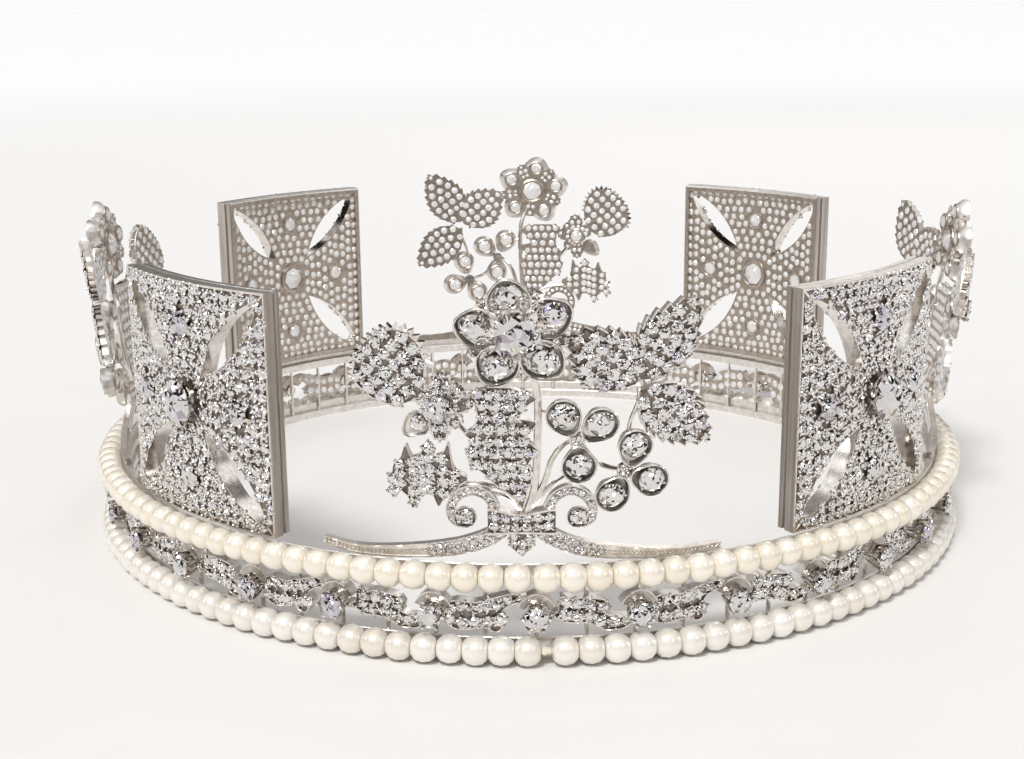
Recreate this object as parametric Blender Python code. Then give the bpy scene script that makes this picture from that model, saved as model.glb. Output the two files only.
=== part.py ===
# A full-circle diadem: a pierced band between two strings of pearls, with four crosses and four sprays
# standing on its upper rim. Metres, +Z up, the front at -Y, the origin on the floor at the ring's centre.

import math

import bmesh
import bpy
from mathutils import Matrix, Vector

for thing in list(bpy.data.objects):
    bpy.data.objects.remove(thing)

# Driving sizes of the band
string_radius = 0.0900  # from the axis to the line through the pearls' centres
pearl_diameter = 0.0044
band_height = 0.0171
rim_height = 0.0035
rim_wall = 0.0016
post_width = 0.0013
post_wall = 0.0010
seat_gap = 0.0003  # left between pieces that touch
string_points = 42

# Driving sizes of the frieze
frieze_stones = 32
frieze_stone_diameter = 0.0043
frieze_collet_depth = 0.0044
scroll_thickness = 0.0019

# Driving sizes of the crosses
cross_width = 0.0430
cross_height = 0.0432
cross_thickness = 0.0043
cross_pierce_width = 0.0054
cross_centre_stone = 0.0080
cross_arm_stone = 0.0050
cross_arm_reach = 0.0139  # from the centre stone to an arm's stone
cross_columns = 5
cross_stone_rise = 0.0004  # of an arm stone's girdle over the plate's face
cross_collet_rise = 0.0019

# Driving sizes of the sprays
spray_height = 0.0485  # from the upper rim to the top of the rose, measured up the slope
spray_lean = math.radians(6.0)
spray_turn = math.radians(-1.5)  # the sprays stand a little round from the crosses' mid-line
ribbon_thickness = 0.0012
ribbon_height = 0.0018
knot_width = 0.0107
knot_height = 0.0039
knot_depth = 0.0021
drop_length = 0.0056
stem_width = 0.0011
stem_depth = 0.0009
leaf_thickness = 0.0013
rose_leaf_length = 0.0160
rose_leaf_width = 0.0090
holly_length = 0.0119
holly_width = 0.0126
thistle_leaf_length = 0.0194
thistle_length = 0.0142
thistle_depth = 0.0025
thistle_stone = 0.0038
rose_diameter = 0.0174
rose_depth = 0.0022
rose_stone = 0.0064
clover_leaflet = 0.0050
clover_depth = 0.0027
curl_radius = 0.0036

# Worked out from them
rim_outer = string_radius - pearl_diameter / 2 - seat_gap
rim_inner = rim_outer - rim_wall
lower_string = pearl_diameter / 2 + seat_gap / 3
upper_string = band_height + seat_gap * 2 - pearl_diameter / 2
window_height = band_height - 2 * rim_height
frieze_middle = band_height / 2
step = 2 * math.pi / frieze_stones
pitch = step * rim_outer
post_radius = (rim_inner + rim_outer) / 2
spray_radius = rim_outer - ribbon_thickness
crown_foot = band_height + seat_gap
cut_reach = 2 * cross_thickness  # of a cutting tool, before and behind the face that it starts from
back_step = 0.0001  # the pieces of a spray start this much before or behind each other
stem_depths = (2 * back_step, 2 * back_step + stem_depth)
leaf_depths = (back_step, back_step + leaf_thickness)


def material(name, colour, metallic, roughness, transmission=0.0):
    made = bpy.data.materials.new(name)
    made.use_nodes = True
    shader = made.node_tree.nodes["Principled BSDF"]
    shader.inputs["Base Color"].default_value = (*colour, 1.0)
    shader.inputs["Metallic"].default_value = metallic
    shader.inputs["Roughness"].default_value = roughness
    shader.inputs["Transmission Weight"].default_value = transmission
    return made


white_metal = material("white_metal", (0.72, 0.70, 0.68), 1.0, 0.18)
clear_stone = material("clear_stone", (0.90, 0.92, 1.00), 0.0, 0.02, 0.6)
pearl = material("pearl", (0.86, 0.80, 0.70), 0.0, 0.25)


def on_ring(angle, radius, height, lean=0.0, turn=0.0):
    # x along the ring, to the right as seen from outside, y up and z outward
    basis = Matrix(((math.cos(angle), 0.0, math.sin(angle)),
                    (math.sin(angle), 0.0, -math.cos(angle)),
                    (0.0, 1.0, 0.0))).to_4x4()
    place = Vector((radius * math.sin(angle), -radius * math.cos(angle), height))
    tilt = Matrix.Rotation(lean, 4, "X") @ Matrix.Rotation(turn, 4, "Z")
    return Matrix.Translation(place) @ basis @ tilt


def moved(solid, matrix):
    points, faces = solid
    return [matrix @ Vector(point) for point in points], faces


def prism(outline, back, front):
    # an outline in x and y, extruded from the depth back to the depth front
    count = len(outline)
    points = [(x, y, back) for x, y in outline] + [(x, y, front) for x, y in outline]
    faces = [tuple(reversed(range(count))), tuple(range(count, 2 * count))]
    for k in range(count):
        after = (k + 1) % count
        faces.append((k, after, count + after, count + k))
    return points, faces


def turned(rings, sides=8, tip=0.0):
    # rings of (radius, depth) from back to front; tip draws the side toward +y out to a drop's point
    points = []
    rows = []
    for radius, depth in rings:
        if radius == 0.0:
            rows.append([len(points)] * sides)
            points.append((0.0, 0.0, depth))
            continue
        rows.append(list(range(len(points), len(points) + sides)))
        for k in range(sides):
            turn = 2 * math.pi * k / sides
            reach = radius * (1.0 + (tip if k == 0 else 0.0))
            points.append((-reach * math.sin(turn), reach * math.cos(turn), depth))
    faces = []
    for low, high in zip(rows, rows[1:]):
        for k in range(sides):
            after = (k + 1) % sides
            corner = [low[k], low[after], high[after], high[k]]
            faces.append(tuple(dict.fromkeys(corner)))
    if rings[0][0] > 0.0:
        faces.append(tuple(reversed(rows[0])))
    if rings[-1][0] > 0.0:
        faces.append(tuple(rows[-1]))
    return points, faces


def swept(sections, closed=False):
    # a solid through sections with as many corners each
    count = len(sections[0])
    points = [corner for section in sections for corner in section]
    faces = []
    last = len(sections) if closed else len(sections) - 1
    for row in range(last):
        here = row * count
        there = (row + 1) % len(sections) * count
        for k in range(count):
            after = (k + 1) % count
            faces.append((here + k, here + after, there + after, there + k))
    if not closed:
        faces.append(tuple(reversed(range(count))))
        faces.append(tuple(range(len(points) - count, len(points))))
    return points, faces


def arc_wall(inner, outer, low, high, start, end, columns):
    # an upright wall of rectangular section that follows the ring
    whole = math.isclose(end - start, 2 * math.pi)
    sections = []
    for k in range(columns if whole else columns + 1):
        angle = start + (end - start) * k / columns
        sections.append([(r * math.sin(angle), -r * math.cos(angle), z)
                         for r, z in ((inner, low), (outer, low), (outer, high), (inner, high))])
    return swept(sections, whole)


def joined(name, solids):
    # one mesh of several closed solids, with their faces turned outward
    mesh = bmesh.new()
    for points, faces in solids:
        made = [mesh.verts.new(point) for point in points]
        for face in faces:
            mesh.faces.new([made[k] for k in face])
    bmesh.ops.recalc_face_normals(mesh, faces=mesh.faces)
    data = bpy.data.meshes.new(name)
    mesh.to_mesh(data)
    mesh.free()
    return data


def fused(name, solids, holes=()):
    # the solids welded into one body, then the holes cut out of it
    body = bpy.data.objects.new(name, joined(name, solids[:1]))
    bpy.context.collection.objects.link(body)
    tools = []
    for operation, group in (("UNION", solids[1:]), ("DIFFERENCE", holes)):
        if not group:
            continue
        tool = bpy.data.objects.new(name + "_tool", joined(name + "_tool", group))
        bpy.context.collection.objects.link(tool)
        tools.append(tool)
        boolean = body.modifiers.new(operation.lower(), "BOOLEAN")
        boolean.operation = operation
        boolean.solver = "EXACT"
        boolean.use_self = operation == "UNION"
        boolean.object = tool
    graph = bpy.context.evaluated_depsgraph_get()
    mesh = bpy.data.meshes.new_from_object(body.evaluated_get(graph))
    mesh.name = name
    for thing in [body, *tools]:
        bpy.data.objects.remove(thing)
    return mesh


def node(name, mesh, look, angle=0.0):
    made = bpy.data.objects.new(name, mesh)
    made.rotation_euler = (0.0, 0.0, angle)
    mesh.materials.clear()
    mesh.materials.append(look)
    bpy.context.collection.objects.link(made)
    return made


# Scroll pieces between two frieze stones: shares of the pitch along, and of the window's height up
hook_scroll = (  # along, up
    (0.07, -0.16), (0.22, -0.29), (0.62, -0.33), (0.69, -0.24), (0.65, 0.06), (0.92, 0.14),
    (0.92, 0.34), (0.76, 0.38), (0.42, 0.21), (0.07, 0.18),
)
wave_scroll = (  # along, up
    (0.07, -0.08), (0.48, -0.18), (0.72, -0.34), (0.93, -0.30), (0.95, -0.16), (0.69, -0.04),
    (0.68, 0.25), (0.23, 0.30), (0.22, 0.06), (0.07, 0.04),
)


def band():
    start = step / 4  # so that the posts stand clear of the rims' own edges
    solids = [arc_wall(rim_inner, rim_outer, low, low + rim_height, start, start + 2 * math.pi,
                       2 * frieze_stones) for low in (0.0, band_height - rim_height)]
    half_post = post_width / 2
    half_wall = post_wall / 2
    post_end = window_height / 2 + rim_height / 2
    post = prism([(-half_post, -post_end), (half_post, -post_end), (half_post, post_end),
                  (-half_post, post_end)], -half_wall, half_wall)
    girdle = frieze_stone_diameter / 2
    collet = turned([(girdle * 0.62, 0.0), (girdle, frieze_collet_depth * 0.82),
                     (girdle * 0.56, frieze_collet_depth)])
    for k in range(frieze_stones):
        angle = k * step
        solids.append(moved(post, on_ring(angle + step / 2, post_radius, frieze_middle)))
        solids.append(moved(collet, on_ring(angle, post_radius, frieze_middle)))
        outline = hook_scroll if k % 2 else wave_scroll
        flat = [((along - 0.5) * pitch, up * window_height) for along, up in outline]
        scroll = prism(flat, -post_wall * 0.3, scroll_thickness)
        solids.append(moved(scroll, on_ring(angle + step / 2, post_radius, frieze_middle)))
    return fused("band", solids)


def pearl_string(name, height):
    curve = bpy.data.curves.new(name, "CURVE")
    curve.dimensions = "3D"
    curve.bevel_depth = pearl_diameter / 2
    curve.bevel_resolution = 2
    line = curve.splines.new("POLY")
    line.points.add(string_points - 1)
    reach = string_radius / math.cos(math.pi / string_points)  # so that no stretch comes nearer the rim
    for k, point in enumerate(line.points):
        angle = 2 * math.pi * k / string_points
        point.co = (reach * math.sin(angle), -reach * math.cos(angle), height, 1.0)
    line.use_cyclic_u = True
    node(name, curve, pearl)


def cut_stone(diameter):
    # a round brilliant with its girdle at depth 0: culet, girdle, table
    radius = diameter / 2
    return turned([(0.0, -diameter * 0.40), (radius, 0.0), (radius * 0.57, diameter * 0.17)])


def stone_hole(diameter):
    # the open back of a setting, a little wider than the stone's pavilion at its seat
    return turned([(diameter * 0.47, -cut_reach), (diameter * 0.47, cut_reach)])


def cross_places():
    middle = crown_foot + cross_height / 2
    reach = cross_arm_reach
    return (("centre", 0.0, middle, cross_centre_stone), ("top", 0.0, middle + reach, cross_arm_stone),
            ("bottom", 0.0, middle - reach, cross_arm_stone), ("left", -reach, middle, cross_arm_stone),
            ("right", reach, middle, cross_arm_stone))


def cross():
    half_angle = cross_width / 2 / rim_outer
    plate = arc_wall(rim_outer - cross_thickness, rim_outer, crown_foot, crown_foot + cross_height,
                     -half_angle, half_angle, cross_columns)
    collet_radius = cross_centre_stone * 0.54
    middle = crown_foot + cross_height / 2
    collet = turned([(collet_radius * 0.98, -cross_thickness / 2), (collet_radius, cross_collet_rise)])
    solids = [plate, moved(collet, on_ring(0.0, rim_outer, middle))]
    holes = []
    near = 0.24
    far = 0.93
    for side_x in (-1, 1):
        for side_y in (-1, 1):
            start = Vector((side_x * cross_width / 2, side_y * cross_height / 2)) * near
            end = Vector((side_x * cross_width / 2, side_y * cross_height / 2)) * far
            across = (end - start).orthogonal().normalized() * cross_pierce_width / 2
            bows = (0.0, 0.33, 0.67, 1.0, 0.67, 0.33)
            outline = []
            for k, share in enumerate(bows):
                bulge = 4.5 * share * (1 - share) * (1 if k < 3 else -1)
                outline.append(tuple(start.lerp(end, share) + across * bulge))
            holes.append(moved(prism(outline, -cut_reach, cut_reach), on_ring(0.0, rim_outer, middle)))
    for _, along, height, diameter in cross_places():
        holes.append(moved(stone_hole(diameter), on_ring(along / rim_outer, rim_outer, height)))
    return fused("cross", solids, holes)


def crosses():
    plate = cross()
    quarters = (("front_left", -1), ("front_right", 1), ("back_right", 3), ("back_left", -3))
    stones = []
    for place, along, height, diameter in cross_places():
        rise = seat_gap + (cross_collet_rise if place == "centre" else cross_stone_rise)
        spot = on_ring(along / rim_outer, rim_outer + rise, height)
        stones.append((place, joined("cross_stone_" + place, [moved(cut_stone(diameter), spot)])))
    for quarter, turns in quarters:
        angle = turns * math.pi / 4
        node("cross_" + quarter, plate, white_metal, angle)
        for place, mesh in stones:
            node("cross_" + quarter + "_stone_" + place, mesh, clear_stone, angle)


# Places in a spray: shares of the spray's height, across from the knot's middle and up from the rim
knot_place = (0.00, 0.16)
drop_place = (0.00, 0.095)
rose_place = (-0.01, 0.82)
calyx_place = (-0.26, 0.57)
thistle_leaf_place = (0.00, 0.21)
holly_place = (-0.20, 0.31)
leaf_join_place = (0.37, 0.64)
clover_places = ((0.18, 0.45), (0.35, 0.33))
curl_places = ((-0.19, 0.19), (0.19, 0.19))
spray_stems = (  # width as a share of the stem's, then places from the knot outward
    (1.3, ((0.03, 0.17), (0.05, 0.62), rose_place)),
    (0.8, ((-0.10, 0.38), calyx_place)),
    (1.0, ((-0.02, 0.17), (-0.08, 0.27), (-0.24, 0.31))),
    (1.0, ((0.03, 0.17), (0.09, 0.30), clover_places[0])),
    (0.8, ((0.05, 0.22), (0.19, 0.36), clover_places[1])),
    (0.6, (clover_places[1], (0.33, 0.48), leaf_join_place)),
)
ribbon_path = (  # across, up, height as a share of the ribbon's
    (0.04, 0.13, 1.7), (0.11, 0.09, 1.5), (0.20, 0.055, 1.2), (0.40, 0.030, 0.95), (0.72, 0.016, 0.7),
)
thistle_leaf = (  # up the leaf and half its width, as shares of its length
    (0.00, 0.05), (0.30, 0.10), (0.42, 0.32), (0.56, 0.32), (0.70, 0.17), (0.92, 0.30), (1.00, 0.20),
)
holly_edge = (  # up the leaf as a share of its length, out as a share of half its width
    (0.32, 1.00), (0.46, 0.45), (0.66, 1.00), (0.72, 0.45), (0.98, 0.75),
)
rose_leaves = (  # direction in degrees, length and width as shares of the rose leaf's
    (58, 1.00, 1.00), (-41, 1.00, 0.96), (141, 0.82, 1.00),
)
petal_turns = (6, 78, 150, 222, 294)
clover_turns = ((111, 23, -85), (70, -34, -118))
calyx_tips = (  # direction in degrees, reach as a share of the thistle's length
    (-90, 0.40), (-42, 0.30), (5, 0.36), (45, 0.30), (88, 0.40), (219, 0.40),
)


def spray_point(across, up, depth=0.0):
    # a place on the leaning surface that a spray follows, depth counted outward from it
    angle = across / spray_radius
    radius = spray_radius + up * math.sin(spray_lean) + depth * math.cos(spray_lean)
    height = crown_foot + up * math.cos(spray_lean) - depth * math.sin(spray_lean)
    return Vector((radius * math.sin(angle), -radius * math.cos(angle), height))


def on_spray(place, depth=0.0, turn=0.0):
    across, up = place[0] * spray_height, place[1] * spray_height
    spot = spray_point(across, up, depth)
    return on_ring(across / spray_radius, spot.xy.length, spot.z, spray_lean, turn)


def strip(path, widths, back, front):
    # a bent bar through places on the spray's surface, with a width at each
    sections = []
    for k, place in enumerate(path):
        before = Vector(path[max(k - 1, 0)])
        after = Vector(path[min(k + 1, len(path) - 1)])
        normal = (after - before).orthogonal().normalized() * widths[k] / 2
        here = Vector(place) * spray_height
        low, high = here - normal, here + normal
        sections.append([spray_point(*low, back), spray_point(*high, back),
                         spray_point(*high, front), spray_point(*low, front)])
    return swept(sections)


def mirrored(right):
    # the right half of an outline, from the bottom up, with its left half added
    return right + [(-x, y) for x, y in reversed(right) if x > 0.0]


def rose_leaf(length, width, teeth=2):
    # a leaf from just behind the origin up +y, its edge a row of teeth that point to the tip
    right = [(0.0, -stem_width / 2)]
    for k in range(teeth):
        share = (k + 1) / (teeth + 1)
        bulge = width / 2 * math.sin(math.pi * share ** 0.8)
        right.append((bulge * 0.80, length * (share - 0.45 / (teeth + 1))))
        right.append((bulge, length * (share + 0.15 / (teeth + 1))))
    return mirrored(right + [(0.0, length)])


def holly_leaf():
    # three spines a side with hollow bays between them, and one at the tip
    right = [(stem_width / 2, 0.0)]
    right += [(out * holly_width / 2, up * holly_length) for up, out in holly_edge]
    return mirrored(right + [(0.0, holly_length * 0.84)])


def star(tips, inner):
    # an outline through tips, each (degrees, reach), with a bay at the distance inner between two
    outline = []
    for k, (degrees, reach) in enumerate(tips):
        following = tips[(k + 1) % len(tips)][0] + (360 if k + 1 == len(tips) else 0)
        middle = math.radians((degrees + following) / 2)
        angle = math.radians(degrees)
        outline.append((reach * math.cos(angle), reach * math.sin(angle)))
        outline.append((inner * math.cos(middle), inner * math.sin(middle)))
    return outline


def ribbon():
    # two arms that leave the knot and come down to lie along the upper rim
    arms = []
    for side in (-1, 1):
        widths = [share * ribbon_height for _, _, share in ribbon_path]
        lowest = [width / 2 / spray_height for width in widths]
        path = [(side * across, max(up, low)) for (across, up, _), low in zip(ribbon_path, lowest)]
        arms.append(strip(path, widths, 0.0, ribbon_thickness))
    return arms


def knot():
    end = knot_width / 2 / spray_height
    across, up = knot_place
    band_of_knot = strip([(across - end, up), (across + end, up)], [knot_height] * 2, -back_step, knot_depth)
    wide, long = drop_length * 0.38, drop_length
    outline = [(0.0, -0.75 * long), (wide, -0.21 * long), (0.57 * wide, 0.25 * long),
               (-0.57 * wide, 0.25 * long), (-wide, -0.21 * long)]
    drop = prism(outline, 4 * back_step, knot_depth * 0.75)
    return [band_of_knot, moved(drop, on_spray(drop_place))]


def leaves():
    outline = mirrored([(half * thistle_leaf_length, up * thistle_leaf_length) for up, half in thistle_leaf])
    solids = [moved(prism(outline, *leaf_depths), on_spray(thistle_leaf_place, 0.0, math.radians(6))),
              moved(prism(holly_leaf(), *leaf_depths), on_spray(holly_place, 0.0, math.radians(94)))]
    for degrees, long, wide in rose_leaves:
        leaf = prism(rose_leaf(long * rose_leaf_length, wide * rose_leaf_width), *leaf_depths)
        solids.append(moved(leaf, on_spray(leaf_join_place, 0.0, math.radians(degrees - 90))))
    degrees, long, _ = rose_leaves[2]
    reach = long * rose_leaf_length / spray_height * 0.95
    tip = (leaf_join_place[0] + reach * math.cos(math.radians(degrees)),
           leaf_join_place[1] + reach * math.sin(math.radians(degrees)))
    solids.append(strip([rose_place, tip], [stem_width * 0.6] * 2, *stem_depths))
    return solids


def rose():
    core = rose_diameter * 0.26
    petal = rose_diameter * 0.165
    reach = rose_diameter * 0.36
    solids = [moved(turned([(core * 0.8, 0.0), (core, rose_depth)]), on_spray(rose_place))]
    cup = turned([(petal * 0.62, 0.0), (petal, rose_depth * 0.8)], 6)
    for degrees in petal_turns:
        spot = on_spray(rose_place, 2 * back_step, math.radians(degrees))
        solids.append(moved(cup, spot @ Matrix.Translation((0.0, reach, 0.0))))
    return solids


def thistle():
    fan_turn = math.radians(47)
    spread = math.radians(42)
    arcs = 3
    foot, side = thistle_length * 0.20, thistle_length * 0.52
    fan = [(-foot, foot / 2), (foot, foot / 2), (side, thistle_length * 0.48)]
    for k in range(arcs + 1):
        angle = spread - 2 * spread * k / arcs
        fan.append((thistle_length * math.sin(angle), thistle_length * math.cos(angle)))
    fan.append((-side, thistle_length * 0.48))
    calyx = star([(degrees, share * thistle_length) for degrees, share in calyx_tips], thistle_length * 0.22)
    crown = moved(prism(fan, 4 * back_step, thistle_depth * 0.8), on_spray(calyx_place, 0.0, fan_turn))
    return [crown, moved(prism(calyx, back_step, thistle_depth), on_spray(calyx_place))]


def clover(place, turns):
    # three leaflets, each a drop-shaped setting with its stone, round a boss
    boss = turned([(clover_leaflet * 0.56, back_step), (clover_leaflet * 0.30, clover_depth * 0.75)], 6)
    solids = [moved(boss, on_spray(place))]
    radius = clover_leaflet / 2
    leaflet = turned([(radius * 0.8, 0.0), (radius, clover_depth * 0.75), (radius * 0.56, clover_depth)],
                     8, 0.22)
    for degrees in turns:
        spot = on_spray(place, 2 * back_step, math.radians(degrees - 90))
        solids.append(moved(leaflet, spot @ Matrix.Translation((0.0, clover_leaflet * 0.86, 0.0))))
    return solids


def curl(place, side):
    # an open curl that leaves the knot's upper corner and ends in a broad bud
    corner = (side * knot_width * 0.44 / spray_height, knot_place[1] + knot_height * 0.33 / spray_height)
    path = [corner]
    share = curl_radius / spray_height
    for k, degrees in enumerate((40, 105, 170, 235)):
        angle = math.radians(degrees)
        reach = share * (0.92 - 0.08 * k)
        path.append((place[0] - side * reach * math.cos(angle), place[1] + reach * math.sin(angle)))
    widths = [stem_width * width for width in (1.2, 1.4, 1.5, 1.6, 2.4)]
    return strip(path, widths, back_step, leaf_thickness)


def spray():
    solids = knot() + ribbon() + leaves() + rose() + thistle()
    for width, path in spray_stems:
        solids.append(strip(path, [stem_width * width] * len(path), *stem_depths))
    for place, turns in zip(clover_places, clover_turns):
        solids += clover(place, turns)
    solids += [curl(place, side) for place, side in zip(curl_places, (-1, 1))]
    holes = [moved(stone_hole(rose_stone), on_spray(rose_place)),
             moved(stone_hole(thistle_stone), on_spray(calyx_place))]
    return fused("spray", solids, holes)


def sprays():
    metal = spray()
    meshes = []
    for name, place, diameter, depth in (("rose_stone", rose_place, rose_stone, rose_depth),
                                         ("thistle_stone", calyx_place, thistle_stone, thistle_depth)):
        stone = moved(cut_stone(diameter), on_spray(place, depth + seat_gap))
        meshes.append((name, joined(name, [stone])))
    for k, side in enumerate(("front", "right", "back", "left")):
        angle = k * math.pi / 2 + spray_turn
        node("spray_" + side, metal, white_metal, angle)
        for name, mesh in meshes:
            node("spray_" + side + "_" + name, mesh, clear_stone, angle)


node("band", band(), white_metal)
pearl_string("pearl_string_lower", lower_string)
pearl_string("pearl_string_upper", upper_string)
crosses()
sprays()
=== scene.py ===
# Looks of a full-circle diadem: pearls, a pierced frieze, four stone-set crosses and four flower sprays.
# Every piece is drawn flat as across, up and out in metres, and then wrapped round the ring.
import math

import bmesh
import bpy
import numpy as np
from mathutils import Matrix, Vector


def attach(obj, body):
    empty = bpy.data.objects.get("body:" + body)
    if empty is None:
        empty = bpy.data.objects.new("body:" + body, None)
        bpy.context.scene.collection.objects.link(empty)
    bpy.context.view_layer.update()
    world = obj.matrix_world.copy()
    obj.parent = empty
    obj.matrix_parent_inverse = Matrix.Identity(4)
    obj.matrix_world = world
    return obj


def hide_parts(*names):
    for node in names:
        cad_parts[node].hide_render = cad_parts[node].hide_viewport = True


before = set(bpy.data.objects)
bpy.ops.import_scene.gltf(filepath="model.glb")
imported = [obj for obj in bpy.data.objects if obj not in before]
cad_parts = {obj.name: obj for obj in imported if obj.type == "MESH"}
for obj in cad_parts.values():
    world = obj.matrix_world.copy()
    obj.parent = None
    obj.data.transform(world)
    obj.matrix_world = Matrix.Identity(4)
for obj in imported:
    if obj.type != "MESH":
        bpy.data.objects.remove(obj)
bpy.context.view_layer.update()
mm = 0.001
rng = np.random.default_rng(7)
print("frame loaded with", len(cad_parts), "solids")

# The sheets that the pieces follow: radius where across is counted, height of up 0, and the lean outward
friezeSheet = {"radius": 86.7 * mm, "foot": 8.55 * mm, "lean": 0.0}
crossSheet = {"radius": 87.5 * mm, "foot": 39.0 * mm, "lean": 0.0}
spraySheet = {"radius": 86.3 * mm, "foot": 17.4 * mm, "lean": math.radians(6.0)}


def linearColour(code):
    # sRGB hex to linear: c / 12.92 in the darks, ((c + 0.055) / 1.055) ** 2.4 above them
    parts = [int(code[k:k + 2], 16) / 255 for k in (1, 3, 5)]
    return tuple(c / 12.92 if c <= 0.04045 else ((c + 0.055) / 1.055) ** 2.4 for c in parts) + (1.0,)


def addNode(tree, kind, settings=None, links=None):
    # a node with its settings, by socket name or number or by property, and what feeds its sockets
    made = tree.nodes.new(kind)
    for name, value in (settings or {}).items():
        if isinstance(name, int) or name in made.inputs:
            made.inputs[name].default_value = value
        else:
            setattr(made, name, value)
    for name, source in (links or {}).items():
        tree.links.new(source, made.inputs[name])
    return made


def newMaterial(name):
    made = bpy.data.materials.new(name)
    made.use_nodes = True
    tree = made.node_tree
    shader = tree.nodes["Principled BSDF"]
    return made, tree, shader


def rampOf(tree, source, stops):
    # a colour ramp with (place, hex) stops
    made = addNode(tree, "ShaderNodeValToRGB", links={"Fac": source})
    ramp = made.color_ramp
    while len(ramp.elements) < len(stops):
        ramp.elements.new(0.5)
    for element, (place, code) in zip(ramp.elements, stops):
        element.position = place
        element.color = linearColour(code)
    return made.outputs["Color"]


def castSilver(name, light, dark, roughness, grain, streak=1.0, relief=0.35):
    # rhodium-plated cast silver: a bright mirror broken by cast grain and the maker's burnishing
    made, tree, shader = newMaterial(name)
    place = addNode(tree, "ShaderNodeTexCoord").outputs["Object"]
    stretched = addNode(tree, "ShaderNodeMapping", {"Scale": (1.0, 1.0, streak)}, {"Vector": place}).outputs[0]
    tarnish = addNode(tree, "ShaderNodeTexNoise", {"Scale": 900.0, "Detail": 3.0}, {"Vector": stretched})
    cast = addNode(tree, "ShaderNodeTexNoise", {"Scale": grain, "Detail": 4.0}, {"Vector": stretched})
    shader.inputs["Metallic"].default_value = 1.0
    colour = rampOf(tree, tarnish.outputs["Fac"], ((0.30, dark), (0.66, light)))
    tree.links.new(colour, shader.inputs["Base Color"])
    rough = addNode(tree, "ShaderNodeMapRange", {"To Min": roughness[0], "To Max": roughness[1]},
                    {"Value": cast.outputs["Fac"]})
    tree.links.new(rough.outputs[0], shader.inputs["Roughness"])
    bump = addNode(tree, "ShaderNodeBump", {"Strength": relief, "Distance": 0.00006},
                   {"Height": cast.outputs["Fac"]})
    tree.links.new(bump.outputs[0], shader.inputs["Normal"])
    return made


def zirconia(name, stops, mirror, milky=0.0, toss=0.34):
    # cubic zirconia, cut and polished: the mirror share stands for light thrown back inside, and each facet
    # is turned by its own spark, as the many reflections inside a stone scatter what it shows
    made, tree, shader = newMaterial(name)
    # the base colour by each facet's tone: mostly white, with painted fire, lilac and violet, on a few facets
    tone = addNode(tree, "ShaderNodeAttribute", {"attribute_name": "tone"}).outputs["Fac"]
    tree.links.new(rampOf(tree, tone, stops), shader.inputs["Base Color"])
    tossed = addNode(tree, "ShaderNodeVectorMath", {"operation": "MULTIPLY_ADD", 1: (toss, toss, toss)},
                     {0: addNode(tree, "ShaderNodeAttribute", {"attribute_name": "spark"}).outputs["Vector"],
                      2: addNode(tree, "ShaderNodeNewGeometry").outputs["Normal"]})
    facing = addNode(tree, "ShaderNodeVectorMath", {"operation": "NORMALIZE"}, {0: tossed.outputs[0]})
    tree.links.new(facing.outputs[0], shader.inputs["Normal"])
    shader.inputs["IOR"].default_value = 2.15
    shader.inputs["Roughness"].default_value = 0.02
    shader.inputs["Transmission Weight"].default_value = 1.0 - milky
    shader.inputs["Metallic"].default_value = mirror
    return made


polishedSilver = castSilver("rhodiumPolishedSilver", "#ece7e2", "#cfc8c1", (0.05, 0.16), 5000.0, 1.0, 0.2)
# sheet walls filed and brushed upright: long soft streaks about 0.2 mm apart
brushedSilver = castSilver("rhodiumBrushedSilver", "#c6bfb8", "#a39b93", (0.22, 0.38), 4500.0, 0.04)
# the unpolished casting inside: greyer and browner, with a satin grain
satinSilver = castSilver("rhodiumSatinSilver", "#c6bbb0", "#a5998d", (0.24, 0.42), 3500.0)
# the cut seats between small stones: rough, and given a darker colour as painted shade, standing in for the shadow
# down in the deep gaps between stones
paintedShadeSeatSilver = castSilver("rhodiumSeatSilverPaintedShade", "#958b83", "#5f5650", (0.28, 0.48), 4000.0)
# a lighter, rougher copy of the plated silver: its lighter colour is a painted highlight, so the edges and walls that
# take it read as white metal catching the light
paintedHighlightSilver = castSilver("rhodiumSilverPaintedHighlight", "#f2eeea", "#dad5cf", (0.28, 0.44), 6000.0, 1.0, 0.25)
# facet tints: white, with painted fire in lilac and violet on a few facets; the main stones also get mauve-grey
# facets, a painted reflection
whitePaintedFire = ((0.0, "#fffefc"), (0.84, "#f8f5f7"), (0.93, "#d8daff"), (1.0, "#dfcbff"))
mainPaintedFire = ((0.0, "#ffffff"), (0.34, "#fbf9fb"), (0.48, "#c9bfca"), (0.62, "#f4f1f9"), (0.86, "#d9d5ee"),
            (1.0, "#c9bfe3"))
clearZirconia = zirconia("zirconiaMain", mainPaintedFire, 0.62)
paveZirconia = zirconia("zirconiaPave", whitePaintedFire, 0.72)
# the same stones from behind, in their drilled holes: milky near-white, painted light that stands in for light coming
# through them from the front
backZirconiaPaintedLight = zirconia("zirconiaSeenFromBehindPaintedLight", ((0.0, "#ffffff"), (1.0, "#f3eeea")), 0.10, 0.80, 0.12)


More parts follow.
